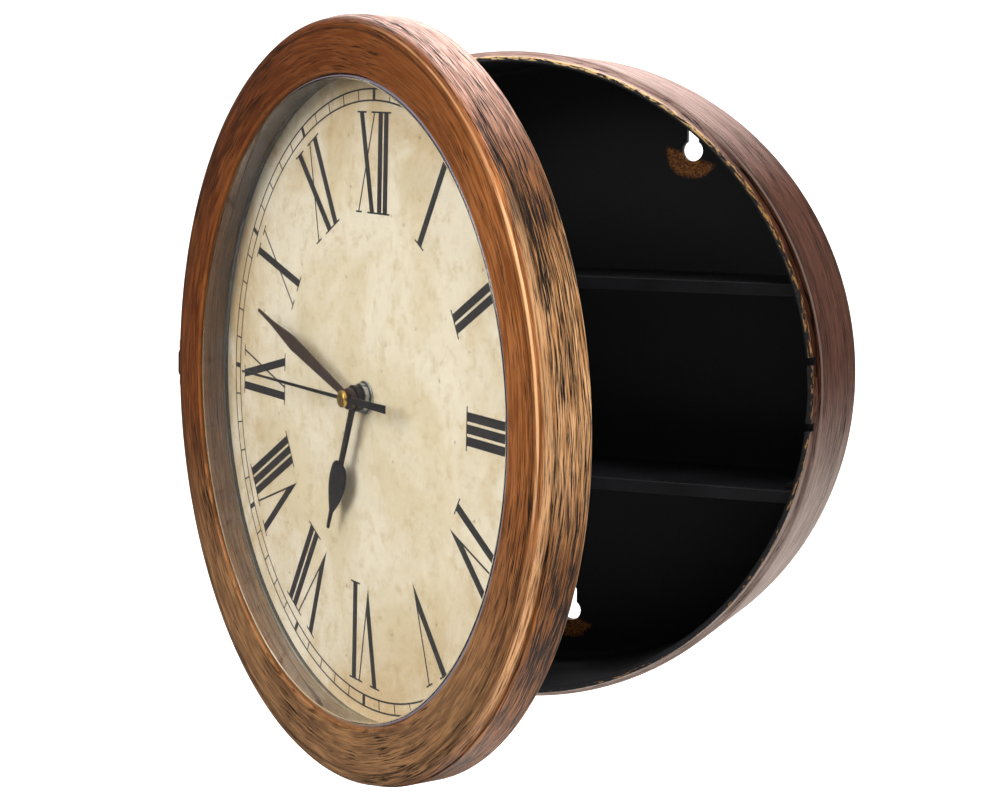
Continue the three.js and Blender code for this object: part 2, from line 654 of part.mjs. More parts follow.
function screwBoss(angle) {
  const radius = SCREW_SHANK_RADIUS + SEAT_GAP + BOSS_WALL;
  const top = FACE_INNER_HEIGHT - FACE_WALL / 2;
  const boss = levelRod(radius, SCREW_CIRCLE_RADIUS, 0, doorY(BOSS_END), doorY(top), TINY_FACETS);
  return turnedAboutDial(boss, angle);
}

function screwHole(angle, back, front) {
  const hole = levelRod(
    SCREW_SHANK_RADIUS + SEAT_GAP, SCREW_CIRCLE_RADIUS, 0, doorY(back), doorY(front), TINY_FACETS);
  return turnedAboutDial(hole, angle);
}

// A barrel about the pin, tapered at both ends
function hingeKnuckle() {
  const taperAt = KNUCKLE_HALF_LENGTH - KNUCKLE_TAPER;
  const barrel = new THREE.LatheGeometry([
    [0, -KNUCKLE_HALF_LENGTH],
    [KNUCKLE_END_RADIUS, -KNUCKLE_HALF_LENGTH],
    [KNUCKLE_RADIUS, -taperAt],
    [KNUCKLE_RADIUS, taperAt],
    [KNUCKLE_END_RADIUS, KNUCKLE_HALF_LENGTH],
    [0, KNUCKLE_HALF_LENGTH],
  ].map(([r, z]) => new THREE.Vector2(r, z)), SMALL_FACETS);
  return solid(barrel.rotateX(Math.PI / 2).translate(HINGE_X, HINGE_Y, 0));
}

function armNotch(side) {
  const front = HINGE_AHEAD + ARM_BARREL_RADIUS + ARM_NOTCH_CLEARANCE;
  const innerX = HINGE_X + ARM_BARREL_RADIUS + ARM_NOTCH_CLEARANCE;
  return block(
    [HINGE_X - 2 * ARM_BARREL_RADIUS, innerX],
    [doorY(-SKIRT_WALL), doorY(front)],
    [side * KNUCKLE_HALF_LENGTH, side * NOTCH_END_Z]);
}

function bezelRing() {
  const ring = fuse([
    revolveDoor(bezelProfile()),
    ...aroundDial(DOOR_RIB_COUNT, 180 / DOOR_RIB_COUNT, doorRib),
    ...aroundDial(SCREW_COUNT, 180 / SCREW_COUNT, screwBoss),
  ]);
  const pilotEnd = FACE_INNER_HEIGHT - FACE_WALL - BOSS_FLOOR;
  const notched = cut(ring, [
    ...aroundDial(SCREW_COUNT, 180 / SCREW_COUNT, (angle) => screwHole(angle, BOSS_END - CUT_PAST, pilotEnd)),
    armNotch(-1),
    armNotch(1),
  ]);
  return notched.add(hingeKnuckle()).subtract(hingeBore(PIN_RADIUS + PIN_RUNNING_CLEARANCE));
}

function catchTongue() {
  const bumpFront = LIP_LENGTH - CATCH_TAB_SETBACK - CATCH_BUMP_FROM_TAB_END;
  const barbFront = bumpFront - CATCH_BUMP_LENGTH - CATCH_CLEARANCE;
  const barbBack = barbFront - TONGUE_BARB_LENGTH;
  const inner = LIP_RADIUS + CATCH_BUMP_HEIGHT + CATCH_CLEARANCE;
  const barbTip = LIP_RADIUS + CATCH_CLEARANCE;
  const outer = inner + TONGUE_WALL;
  return ringSector([
    [inner, CHANNEL_FLOOR + PAN_WALL / 2],
    [outer, CHANNEL_FLOOR + PAN_WALL / 2],
    [outer, barbBack + TONGUE_BARB_LENGTH / 2],
    [inner, barbBack],
    [barbTip, barbFront - TONGUE_BARB_LENGTH / 2],
    [barbTip, barbFront],
    [inner, barbFront],
    [inner, CHANNEL_FLOOR + PAN_WALL / 2],
  ].map(([r, ahead]) => [r, doorY(ahead)]), TONGUE_WIDTH);
}

function roundedSquare(side, corner) {
  const half = side / 2;
  const shape = new THREE.Shape();
  shape.absarc(half - corner, half - corner, corner, 0, Math.PI / 2, false);
  shape.absarc(corner - half, half - corner, corner, Math.PI / 2, Math.PI, false);
  shape.absarc(corner - half, corner - half, corner, Math.PI, 1.5 * Math.PI, false);
  shape.absarc(half - corner, corner - half, corner, 1.5 * Math.PI, 2 * Math.PI, false);
  return shape;
}

function movementCradle() {
  const inside = MOVEMENT_SIDE + 2 * SEAT_GAP;
  const outside = inside + 2 * CRADLE_WALL;
  const back = PAN_BACK - CRADLE_HEIGHT;
  const inPan = PAN_FRONT - PAN_FLOOR / 2;
  const wall = doorSlab(roundedSquare(outside, MOVEMENT_CORNER + CRADLE_WALL), back, inPan, CORNER_STEPS);
  const hollow = doorSlab(roundedSquare(inside, MOVEMENT_CORNER), back - CUT_PAST, PAN_BACK, CORNER_STEPS);
  return [wall, hollow];
}

function doorPan() {
  const bore = BUSHING_RADIUS + BUSHING_CLEARANCE;
  const pan = revolveDoor([
    [bore, PAN_BACK],
    [PAN_CUP_RADIUS - LIP_CHAMFER, PAN_BACK],
    [PAN_CUP_RADIUS, PAN_BACK + LIP_CHAMFER],
    [PAN_CUP_RADIUS, CHANNEL_FLOOR],
    [PAN_FLANGE_RADIUS, CHANNEL_FLOOR],
    [PAN_FLANGE_RADIUS, PAN_FLANGE_FRONT],
    [PAN_CUP_INNER_RADIUS, PAN_FLANGE_FRONT],
    [PAN_CUP_INNER_RADIUS, PAN_FRONT],
    [bore, PAN_FRONT],
    [bore, PAN_BACK],
  ]);
  const [cradleWall, cradleHollow] = movementCradle();
  const centreHole = levelRod(
    bore, 0, 0, doorY(PAN_BACK - CRADLE_HEIGHT - CUT_PAST), doorY(PAN_FRONT + CUT_PAST));
  const cradle = cut(cradleWall, [cradleHollow, centreHole]);
  const holes = aroundDial(SCREW_COUNT, 180 / SCREW_COUNT,
    (angle) => screwHole(angle, CHANNEL_FLOOR - CUT_PAST, PAN_FLANGE_FRONT + CUT_PAST));
  const knuckleNotch = block(
    [HINGE_X, HINGE_X + KNUCKLE_RADIUS + ARM_NOTCH_CLEARANCE],
    [doorY(CHANNEL_FLOOR - CUT_PAST), doorY(PAN_FLANGE_FRONT + CUT_PAST)],
    [-NOTCH_END_Z, NOTCH_END_Z]);
  return cut(fuse([pan, cradle, catchTongue()]), [...holes, knuckleNotch]);
}

function panScrew(angle) {
  const headBack = CHANNEL_FLOOR - SEAT_GAP - SCREW_HEAD_HEIGHT;
  const headFront = CHANNEL_FLOOR - SEAT_GAP;
  const screw = revolveDoor([
    [0, headBack],
    [SCREW_CROWN_RADIUS, headBack],
    [SCREW_HEAD_RADIUS, headBack + SCREW_CROWN_HEIGHT],
    [SCREW_HEAD_RADIUS, headFront],
    [SCREW_SHANK_RADIUS, headFront],
    [SCREW_SHANK_RADIUS, headFront + SCREW_LENGTH - SCREW_SHANK_RADIUS],
    [0, headFront + SCREW_LENGTH],
  ], TINY_FACETS);
  return turnedAboutDial(screw.translate([SCREW_CIRCLE_RADIUS, 0, 0]), angle);
}

function lens() {
  const backOuter = THROAT_BACK_RADIUS - LENS_SIDE_CLEARANCE;
  const frontOuter = OPENING_RADIUS - LENS_SIDE_CLEARANCE;
  return revolveDoor([
    [0, LENS_FRONT],
    ...arc(frontOuter - LENS_CORNER, LENS_FRONT - LENS_CORNER, LENS_CORNER, 90, 0, CORNER_STEPS),
    [backOuter, LENS_FLANGE_FRONT],
    [DIAL_RADIUS, LENS_FLANGE_FRONT],
    [DIAL_RADIUS, LENS_BACK],
    [backOuter - LENS_WALL, LENS_BACK],
    [frontOuter - LENS_WALL, LENS_INSIDE],
    [0, LENS_INSIDE],
  ]);
}

function dialPlate() {
  return doorTube(DIAL_RADIUS, BUSHING_RADIUS + BUSHING_CLEARANCE, DIAL_BACK, DIAL_FRONT, RIM_FACETS);
}

// Gears, as outlines with true involute flanks
function involutePoint(baseRadius, radius, turned) {
  const roll = Math.sqrt(Math.max((radius / baseRadius) ** 2 - 1, 0));
  const angle = turned - (roll - Math.atan(roll));
  return new THREE.Vector2(radius * Math.cos(angle), radius * Math.sin(angle));
}

function gearShape(teeth, addendum, firstToothDeg) {
  const pitchRadius = GEAR_MODULE * teeth / 2;
  const baseRadius = pitchRadius * Math.cos(PRESSURE_ANGLE);
  const tipRadius = pitchRadius + addendum * GEAR_MODULE;
  const rootRadius = pitchRadius - DEDENDUM * GEAR_MODULE;
  const halfTooth = Math.PI / (2 * teeth) - TOOTH_THINNING / pitchRadius;
  const flankAtBase = halfTooth + Math.tan(PRESSURE_ANGLE) - PRESSURE_ANGLE;
  const flankRadii = [pitchRadius, tipRadius];
  const points = [];
  for (let tooth = 0; tooth < teeth; tooth += 1) {
    const middle = THREE.MathUtils.degToRad(firstToothDeg) + tooth * 2 * Math.PI / teeth;
    const flank = flankRadii.map((radius) => involutePoint(baseRadius, radius, flankAtBase));
    const root = new THREE.Vector2(rootRadius * Math.cos(flankAtBase), rootRadius * Math.sin(flankAtBase));
    const half = [root, ...flank];
    const centre = new THREE.Vector2(0, 0);
    for (const point of half) {
      points.push(new THREE.Vector2(point.x, -point.y).rotateAround(centre, middle));
    }
    for (const point of half.reverse()) {
      points.push(point.clone().rotateAround(centre, middle));
    }
  }
  return new THREE.Shape(points);
}

function cannonPinion() {
  const teeth = gearShape(CANNON_TEETH, PINION_ADDENDUM, 90);
  const pinion = doorSlab(teeth, CANNON_PINION_BACK, CANNON_PINION_FRONT);
  const tubeEnd = MINUTE_COLLET_BACK + COLLET_LENGTH - SEAT_GAP;
  const tube = doorDisc(CANNON_RADIUS, CANNON_PINION_BACK, tubeEnd, TINY_FACETS);
  const bore = doorDisc(CANNON_BORE, CANNON_PINION_BACK - CUT_PAST, tubeEnd + CUT_PAST, TINY_FACETS);
  return cut(pinion.add(tube), [bore]);
}

function hourWheel() {
  const halfPitchDeg = 180 / HOUR_WHEEL_TEETH;
  const wheel = doorSlab(
    gearShape(HOUR_WHEEL_TEETH, WHEEL_ADDENDUM, 90 + halfPitchDeg), HOUR_WHEEL_BACK, HOUR_WHEEL_FRONT);
  const tubeEnd = HOUR_COLLET_BACK + COLLET_LENGTH - SEAT_GAP;
  const tube = doorDisc(HOUR_TUBE_RADIUS, HOUR_WHEEL_BACK, tubeEnd, SMALL_FACETS);
  const bore = doorDisc(HOUR_TUBE_BORE, HOUR_WHEEL_BACK - CUT_PAST, tubeEnd + CUT_PAST, SMALL_FACETS);
  return cut(wheel.add(tube), [bore]);
}

function motionWheel() {
  const halfPitchDeg = 180 / MOTION_WHEEL_TEETH;
  const wheel = doorSlab(
    gearShape(MOTION_WHEEL_TEETH, WHEEL_ADDENDUM, -90 + halfPitchDeg), MOTION_WHEEL_BACK, MOTION_WHEEL_FRONT);
  const pinion = doorSlab(
    gearShape(MOTION_PINION_TEETH, PINION_ADDENDUM, -90), MOTION_WHEEL_FRONT - PINION_ROOT, HOUR_WHEEL_FRONT);
  const arborBack = KNOB_FRONT - KNOB_BORE_DEPTH + SEAT_GAP;
  const arborFront = MOVEMENT_PLATE_BACK + PIVOT_LENGTH - SEAT_GAP;
  const arbor = doorDisc(MOTION_ARBOR_RADIUS, arborBack, arborFront, TINY_FACETS);
  return fuse([wheel, pinion, arbor]).translate([0, 0, MOTION_ARBOR_Z]);
}

function settingKnob() {
  const back = KNOB_FRONT - KNOB_THICKNESS;
  const disc = doorDisc(KNOB_RADIUS, back, KNOB_FRONT, 2 * KNOB_FLUTES);
  const toolBack = doorY(back - CUT_PAST);
  const toolFront = doorY(KNOB_FRONT + CUT_PAST);
  const flute = levelRod(
    KNOB_FLUTE_RADIUS, KNOB_RADIUS + KNOB_FLUTE_DEPTH, 0, toolBack, toolFront, KNOB_FLUTE_FACETS);
  const flutes = aroundDial(KNOB_FLUTES, 0, (angle) => turnedAboutDial(flute, angle));
  const boreEnd = doorY(KNOB_FRONT - KNOB_BORE_DEPTH);
  const bore = levelRod(MOTION_ARBOR_RADIUS + SEAT_GAP, 0, 0, boreEnd, toolFront, TINY_FACETS);
  return cut(disc, [...flutes, bore]).translate([0, 0, MOTION_ARBOR_Z]);
}

function secondArbor() {
  const back = GEAR_CAVITY_BACK - PIVOT_LENGTH + SEAT_GAP;
  const end = CAP_BACK + ARBOR_IN_CAP;
  return revolveDoor([
    [0, back],
    [SECOND_ARBOR_RADIUS, back],
    [SECOND_ARBOR_RADIUS, SECOND_WHEEL_BACK],
    [SECOND_WHEEL_RADIUS, SECOND_WHEEL_BACK],
    [SECOND_WHEEL_RADIUS, SECOND_WHEEL_FRONT],
    [SECOND_ARBOR_RADIUS, SECOND_WHEEL_FRONT],
    [SECOND_ARBOR_RADIUS, end],
    [0, end],
  ], SMALL_FACETS);
}

// Movement
function movementFront() {
  const plate = doorSlab(
    roundedSquare(MOVEMENT_SIDE, MOVEMENT_CORNER), MOVEMENT_PLATE_BACK, MOVEMENT_FRONT, CORNER_STEPS);
  const bushing = doorDisc(BUSHING_RADIUS, MOVEMENT_PLATE_BACK, BUSHING_END, SMALL_FACETS);
  const bore = doorDisc(BUSHING_BORE, MOVEMENT_PLATE_BACK - CUT_PAST, BUSHING_END + CUT_PAST, SMALL_FACETS);
  const pivot = levelRod(
    MOTION_ARBOR_RADIUS + SEAT_GAP, 0, MOTION_ARBOR_Z, doorY(MOVEMENT_PLATE_BACK - CUT_PAST),
    doorY(MOVEMENT_PLATE_BACK + PIVOT_LENGTH), TINY_FACETS);
  return cut(plate.add(bushing), [bore, pivot]);
}

function gearCavityShape() {
  const tip = GEAR_MODULE * (HOUR_WHEEL_TEETH / 2 + WHEEL_ADDENDUM);
  const radius = tip + GEAR_SIDE_CLEARANCE;
  const shape = new THREE.Shape();
  shape.absarc(0, 0, radius, Math.PI, 2 * Math.PI, false);
  shape.absarc(0, MOTION_ARBOR_Z, radius, 0, Math.PI, false);
  return shape;
}

function movementCase() {
  const front = MOVEMENT_PLATE_BACK - SEAT_GAP;
  const box = doorSlab(roundedSquare(MOVEMENT_SIDE, MOVEMENT_CORNER), MOVEMENT_BACK, front, CORNER_STEPS);
  const gearCavity = doorSlab(gearCavityShape(), GEAR_CAVITY_BACK, front + CUT_PAST, TINY_FACETS);
  const bayHalf = BAY_LENGTH / 2;
  const bayRadius = BATTERY_RADIUS + BATTERY_CLEARANCE;
  const trough = solid(new THREE.CylinderGeometry(bayRadius, bayRadius, 2 * bayHalf, SMALL_FACETS)
    .rotateZ(Math.PI / 2).translate(0, doorY(BATTERY_AXIS), BATTERY_Z));
  const mouth = block(
    [-bayHalf, bayHalf], [doorY(MOVEMENT_BACK - CUT_PAST), doorY(BATTERY_AXIS)],
    [BATTERY_Z - bayRadius, BATTERY_Z + bayRadius]);
  const holeBack = doorY(MOVEMENT_BACK - CUT_PAST);
  const arborHole = levelRod(
    MOTION_ARBOR_RADIUS + TUBE_CLEARANCE, 0, MOTION_ARBOR_Z, holeBack, doorY(front), TINY_FACETS);
  const pivotEnd = doorY(GEAR_CAVITY_BACK - PIVOT_LENGTH);
  const pivotHole = levelRod(SECOND_ARBOR_RADIUS + TUBE_CLEARANCE, 0, 0, pivotEnd, doorY(front), TINY_FACETS);
  return cut(box, [gearCavity, trough, mouth, arborHole, pivotHole]);
}

function battery() {
  const endX = BAY_LENGTH / 2 - CONTACT_WALL - 2 * SEAT_GAP;
  const turned = solid(new THREE.LatheGeometry([
    [0, 0],
    [BATTERY_RADIUS - SEAT_GAP, 0],
    [BATTERY_RADIUS, SEAT_GAP],
    [BATTERY_RADIUS, BATTERY_LENGTH - SEAT_GAP],
    [BATTERY_RADIUS - SEAT_GAP, BATTERY_LENGTH],
    [BATTERY_NUB_RADIUS, BATTERY_LENGTH],
    [BATTERY_NUB_RADIUS, BATTERY_LENGTH + BATTERY_NUB_HEIGHT],
    [0, BATTERY_LENGTH + BATTERY_NUB_HEIGHT],
  ].map(([r, y]) => new THREE.Vector2(r, y)), SMALL_FACETS).rotateZ(-Math.PI / 2));
  return turned.translate([endX - BATTERY_LENGTH - BATTERY_NUB_HEIGHT, doorY(BATTERY_AXIS), BATTERY_Z]);
}

// A strip bowed towards the battery, drawn in the level plane and given its width
function batteryContact(side, bow) {
  const wallX = BAY_LENGTH / 2 - SEAT_GAP;
  const halfLength = BATTERY_RADIUS - 2 * BATTERY_CLEARANCE;
  const axisY = doorY(BATTERY_AXIS);
  // The bend's middle point stands off twice as far as the strip bows
  const outerEdge = bend([wallX, -halfLength], [wallX - 2 * bow, 0], [wallX, halfLength], CURVE_STEPS);
  const strip = new THREE.Shape([
    ...outerEdge.map(([x, y]) => new THREE.Vector2(side * x, axisY + y)),
    ...outerEdge.reverse().map(([x, y]) => new THREE.Vector2(side * (x - CONTACT_WALL), axisY + y)),
  ]);
  const half = CONTACT_WIDTH / 2;
  return upright(strip, BATTERY_Z - half, BATTERY_Z + half);
}

function dialNut() {
  const front = NUT_BACK + NUT_THICKNESS;
  const ring = doorTube(NUT_RADIUS, BUSHING_RADIUS + SEAT_GAP, NUT_BACK, front, SMALL_FACETS);
  const slot = block(
    [NUT_RADIUS - NUT_SLOT_DEPTH, NUT_RADIUS + CUT_PAST],
    [doorY(NUT_BACK - CUT_PAST), doorY(front + CUT_PAST)],
    [-NUT_SLOT_WIDTH / 2, NUT_SLOT_WIDTH / 2]);
  const slots = aroundDial(NUT_SLOT_COUNT, 0, (angle) => turnedAboutDial(slot, angle));
  return cut(ring, slots);
}

// Hands, drawn pointing at twelve
function mirroredBlade(rightEdge) {
  const left = rightEdge.slice().reverse().map(([x, y]) => [-x, y]);
  return new THREE.Shape([...rightEdge, ...left].map(([x, y]) => new THREE.Vector2(x, y)));
}

function handOn(blade, colletRadius, bore, back) {
  const bladeBack = back + (COLLET_LENGTH - HAND_THICKNESS) / 2;
  const collet = doorDisc(colletRadius, back, back + COLLET_LENGTH, SMALL_FACETS);
  const hole = doorDisc(bore, back - CUT_PAST, back + COLLET_LENGTH + CUT_PAST, SMALL_FACETS);
  return cut(doorSlab(blade, bladeBack, bladeBack + HAND_THICKNESS).add(collet), [hole]);
}

function hourHand() {
  const stemEnd = [HOUR_STEM_HALF, HOUR_STEM_END];
  const widest = [HOUR_BULB_HALF, HOUR_BULB_AT];
  const neck = [HOUR_NECK_HALF, HOUR_NECK_AT];
  const blade = mirroredBlade([
    [HOUR_ROOT_HALF, HOUR_TUBE_RADIUS],
    ...bend(stemEnd, [HOUR_BULB_HALF, HOUR_STEM_END], widest, CURVE_STEPS),
    ...bend(widest, [HOUR_BULB_HALF, HOUR_SHOULDER_AT], neck, CURVE_STEPS).slice(1),
    [HOUR_TIP_HALF, HOUR_HAND_LENGTH],
  ]);
  return handOn(blade, HOUR_COLLET_RADIUS, HOUR_TUBE_RADIUS + TUBE_CLEARANCE, HOUR_COLLET_BACK);
}

function minuteHand() {
  const blade = mirroredBlade([
    [MINUTE_ROOT_HALF, CANNON_RADIUS],
    [MINUTE_WIDEST_HALF, MINUTE_WIDEST_AT],
    [MINUTE_NECK_HALF, MINUTE_NECK_AT],
    [MINUTE_TIP_HALF, MINUTE_HAND_LENGTH],
  ]);
  return handOn(blade, MINUTE_COLLET_RADIUS, CANNON_RADIUS + TUBE_CLEARANCE, MINUTE_COLLET_BACK);
}

function secondHand() {
  const back = SECOND_HUB_BACK;
  const front = back + HAND_THICKNESS;
  const blade = mirroredBlade([
    [SECOND_TAIL_END_HALF, -SECOND_TAIL_LENGTH],
    [SECOND_TAIL_ROOT_HALF, -SECOND_HUB_RADIUS],
    [SECOND_ROOT_HALF, SECOND_HUB_RADIUS],
    [SECOND_TIP_HALF, SECOND_HAND_LENGTH],
  ]);
  const hub = doorDisc(SECOND_HUB_RADIUS, back, front, TINY_FACETS);
  const bore = SECOND_ARBOR_RADIUS + TUBE_CLEARANCE;
  const hole = doorDisc(bore, back - CUT_PAST, front + CUT_PAST, TINY_FACETS);
  return cut(doorSlab(blade, back, front).add(hub), [hole]);
}

function secondCap() {
  const front = CAP_BACK + CAP_HEIGHT;
  const bore = SECOND_ARBOR_RADIUS + TUBE_CLEARANCE;
  return revolveDoor([
    [bore, CAP_BACK],
    [CAP_RADIUS, CAP_BACK],
    ...bend([CAP_RADIUS, CAP_BACK + CAP_BORE_DEPTH], [CAP_RADIUS, front], [0, front], CURVE_STEPS),
    [0, CAP_BACK + CAP_BORE_DEPTH],
    [bore, CAP_BACK + CAP_BORE_DEPTH],
    [bore, CAP_BACK],
  ], SMALL_FACETS);
}

// Finishes
function finish(color, roughness, metalness) {
  return new THREE.MeshStandardMaterial({ color, roughness, metalness });
}

const COPPER_DRUM = [0x5a3a2c, 0.42, 0.5];
const COPPER_BEZEL = [0x9a5c2c, 0.4, 0.45];
const BLACK_ABS = [0x121214, 0.5, 0.0];
const CLEAR_PLASTIC = [0xdfe6ea, 0.05, 0.0];
const DIAL_PAPER = [0xe4d6b0, 0.85, 0.0];
const HAND_BLACK = [0x26262c, 0.4, 0.3];
const STEEL = [0xb8bcc0, 0.3, 1.0];
const BRASS = [0xc8a050, 0.3, 1.0];
const RUBBER = [0x1a1a1a, 0.9, 0.0];
const GEAR_PLASTIC = [0xe8e4d8, 0.5, 0.0];
const BATTERY_JACKET = [0x3a3f45, 0.35, 0.4];

function piece(name, body, look) {
  const mesh = new THREE.Mesh(geometryOf(body), finish(...look));
  mesh.name = name;
  return mesh;
}

function clockwise(mesh, degrees) {
  mesh.rotation.y = THREE.MathUtils.degToRad(degrees);
  return mesh;
}

// Assembly
const caseGroup = new THREE.Group();
const pin = piece('hinge_pin', hingePin(), STEEL);
pin.position.set(HINGE_X, HINGE_Y, 0);
caseGroup.add(
  piece('case_shell', caseShell(), COPPER_DRUM),
  piece('shelf_upper', shelf(SHELF_OFFSET), BLACK_ABS),
  piece('shelf_lower', shelf(-SHELF_OFFSET), BLACK_ABS),
  pin,
);

const doorGroup = new THREE.Group();
doorGroup.position.set(-HINGE_X, -HINGE_Y, 0);
doorGroup.add(
  piece('bezel_ring', bezelRing(), COPPER_BEZEL),
  piece('door_pan', doorPan(), BLACK_ABS),
  ...aroundDial(SCREW_COUNT, 180 / SCREW_COUNT, panScrew)
    .map((screw, i) => piece(`pan_screw_${i + 1}`, screw, STEEL)),
  piece('lens', lens(), CLEAR_PLASTIC),
  piece('dial_plate', dialPlate(), DIAL_PAPER),
  piece('rubber_washer', doorTube(
    RUBBER_WASHER_RADIUS, BUSHING_RADIUS + BUSHING_CLEARANCE, WASHER_BACK,
    WASHER_BACK + RUBBER_WASHER_THICKNESS, SMALL_FACETS), RUBBER),
  piece('metal_washer', doorTube(
    METAL_WASHER_RADIUS, BUSHING_RADIUS + BUSHING_CLEARANCE, METAL_WASHER_BACK,
    METAL_WASHER_BACK + METAL_WASHER_THICKNESS, SMALL_FACETS), STEEL),
  piece('dial_nut', dialNut(), STEEL),
  piece('movement_front', movementFront(), BLACK_ABS),
  piece('movement_case', movementCase(), BLACK_ABS),
  piece('battery', battery(), BATTERY_JACKET),
  piece('battery_contact_plus', batteryContact(1, 0), STEEL),
  piece('battery_contact_minus', batteryContact(-1, CONTACT_SPRING), STEEL),
  piece('motion_wheel', motionWheel(), GEAR_PLASTIC),
  piece('setting_knob', settingKnob(), BLACK_ABS),
  piece('hour_wheel', hourWheel(), GEAR_PLASTIC),
  clockwise(piece('hour_hand', hourHand(), HAND_BLACK), HOUR_HAND_DEG),
  piece('cannon_pinion', cannonPinion(), BRASS),
  clockwise(piece('minute_hand', minuteHand(), HAND_BLACK), MINUTE_HAND_DEG),
  piece('second_arbor', secondArbor(), STEEL),
  clockwise(piece('second_hand', secondHand(), HAND_BLACK), SECOND_HAND_DEG),
  piece('second_cap', secondCap(), BRASS),
);

const doorSwing = new THREE.Group();
doorSwing.position.set(HINGE_X, HINGE_Y, 0);
doorSwing.rotation.z = -THREE.MathUtils.degToRad(OPEN_ANGLE_DEG);
doorSwing.add(doorGroup);

const clockSafe = new THREE.Group();
clockSafe.add(caseGroup, doorSwing);

export default clockSafe;
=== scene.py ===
# %% [markdown]
# # A wall clock that hides a small safe
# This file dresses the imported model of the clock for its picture. The model brings every solid in
# its right place, in metres, with the wall at +Y and the dial towards -Y. What is added here is
# what the eye judges first: edges that are truly round, printed numerals, and finishes that look
# like brushed copper paint, parchment, clear plastic and black lacquer.

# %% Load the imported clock
import json
import math

import bmesh
import bpy
from mathutils import Matrix, Vector

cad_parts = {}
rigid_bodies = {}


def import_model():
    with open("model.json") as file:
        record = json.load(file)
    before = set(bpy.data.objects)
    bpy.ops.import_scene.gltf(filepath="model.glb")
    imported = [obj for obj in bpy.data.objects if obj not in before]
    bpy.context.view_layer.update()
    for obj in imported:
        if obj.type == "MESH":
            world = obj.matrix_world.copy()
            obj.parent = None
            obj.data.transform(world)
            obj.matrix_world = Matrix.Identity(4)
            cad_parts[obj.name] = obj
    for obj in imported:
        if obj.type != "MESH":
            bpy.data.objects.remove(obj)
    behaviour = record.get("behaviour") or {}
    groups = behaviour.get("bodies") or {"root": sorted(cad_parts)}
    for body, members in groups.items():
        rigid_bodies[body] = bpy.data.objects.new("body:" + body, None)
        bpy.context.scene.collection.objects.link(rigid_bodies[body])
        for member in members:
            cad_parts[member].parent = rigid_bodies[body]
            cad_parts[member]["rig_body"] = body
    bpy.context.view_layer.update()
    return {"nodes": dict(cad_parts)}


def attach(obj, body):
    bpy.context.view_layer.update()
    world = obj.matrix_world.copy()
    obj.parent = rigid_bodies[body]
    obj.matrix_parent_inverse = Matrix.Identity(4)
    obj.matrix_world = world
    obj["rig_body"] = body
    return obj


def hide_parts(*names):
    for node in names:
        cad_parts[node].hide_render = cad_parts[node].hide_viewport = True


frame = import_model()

print("solids in the packed clock:", len(frame["nodes"]))

# %% [markdown]
# ## Millimetres, and a door that stands open
# The sizes below are in millimetres, as the real clock is measured, and Blender works in metres, so
# one value turns one into the other. The door is drawn closed, with the dial's centre at x = 0 and
# z = 0, and is then swung 35 degrees about its pin. One matrix does that swing, so whatever belongs
# on the door is drawn straight and then swung with it.

# %% The seam, the hinge and the swing of the door
MM = 0.001
SEAM = 52.5  # from the wall to where the door meets the drum
CARD = 3.505  # from the seam to the dial's print, a hair ahead of the solid's own face
HINGE = Vector((-127.3, -66.0, 0.0)) * MM
OPEN = math.radians(-35)
SWING = Matrix.Translation(HINGE) @ Matrix.Rotation(OPEN, 4, "Z") @ Matrix.Translation(-HINGE)


def on_door(x, z, ahead):
    """A point of the door in the clock's frame, from mm across, up and ahead of the seam."""
    return SWING @ Vector((x * MM, -(SEAM + ahead) * MM, z * MM))


print("the dial's centre, swung open, in mm:", [round(v / MM, 1) for v in on_door(0, 0, CARD)])

# %% [markdown]
# ## Colours
# A paint card, a colour picker and a photograph all speak sRGB. Blender's shaders mix light, which
# is linear. One function makes that change, so each colour can be written as the hex value that a
# person reads off a card.

# %% Turn a hex colour into linear light
def colour(hex_value):
    """sRGB hex to the linear red, green, blue and alpha that a shader wants."""
    parts = [int(hex_value[i:i + 2], 16) / 255 for i in (1, 3, 5)]
    linear = [c / 12.92 if c <= 0.04045 else ((c + 0.055) / 1.055) ** 2.4 for c in parts]
    return (*linear, 1.0)


print("parchment in linear light:", [round(c, 3) for c in colour("#e4d6b0")])

# %% [markdown]
# ## One helper for every shader node
# A material is a small graph, and building graphs by hand in code gets long. The helper adds one
# node, sets its options, fills or links its sockets, and hands back the output that is in use.
# Values may come in the order of the sockets on the node's face, or by the sockets' names. Options
# that come up all the time have short names: TIMES, LESS and LARGER are arithmetic, ALONG measures
# along a direction. Two short functions open and close a material around it.

# %% Add a node with its settings and links
USUAL = {"Mix": {"data_type": "RGBA"}, "MapRange": {"interpolation_type": "SMOOTHSTEP"}}
TIMES, LESS, LARGER = ({"operation": name} for name in ("MULTIPLY", "SUBTRACT", "MAXIMUM"))
ALONG, LENGTH = ({"operation": name} for name in ("DOT_PRODUCT", "LENGTH"))


def add(mat, kind, sockets=(), out=None, **settings):
    """Adds one shader node and returns the output named, or the first one that is in use."""
    node = mat.node_tree.nodes.new("ShaderNode" + kind)
    for name, value in {**USUAL.get(kind, {}), **settings}.items():
        setattr(node, name, value)
    if isinstance(sockets, dict):
        pairs = [(node.inputs[name], value) for name, value in sockets.items()]
    else:
        pairs = zip([socket for socket in node.inputs if socket.enabled], sockets)
    for socket, value in pairs:
        if isinstance(value, bpy.types.NodeSocket):
            mat.node_tree.links.new(value, socket)
        else:
            socket.default_value = value
    return node.outputs[out] if out else next((o for o in node.outputs if o.enabled), None)


def open_finish(name):
    """A new material with an empty graph."""
    mat = bpy.data.materials.new(name)
    mat.use_nodes = True
    mat.node_tree.nodes.clear()
    return mat


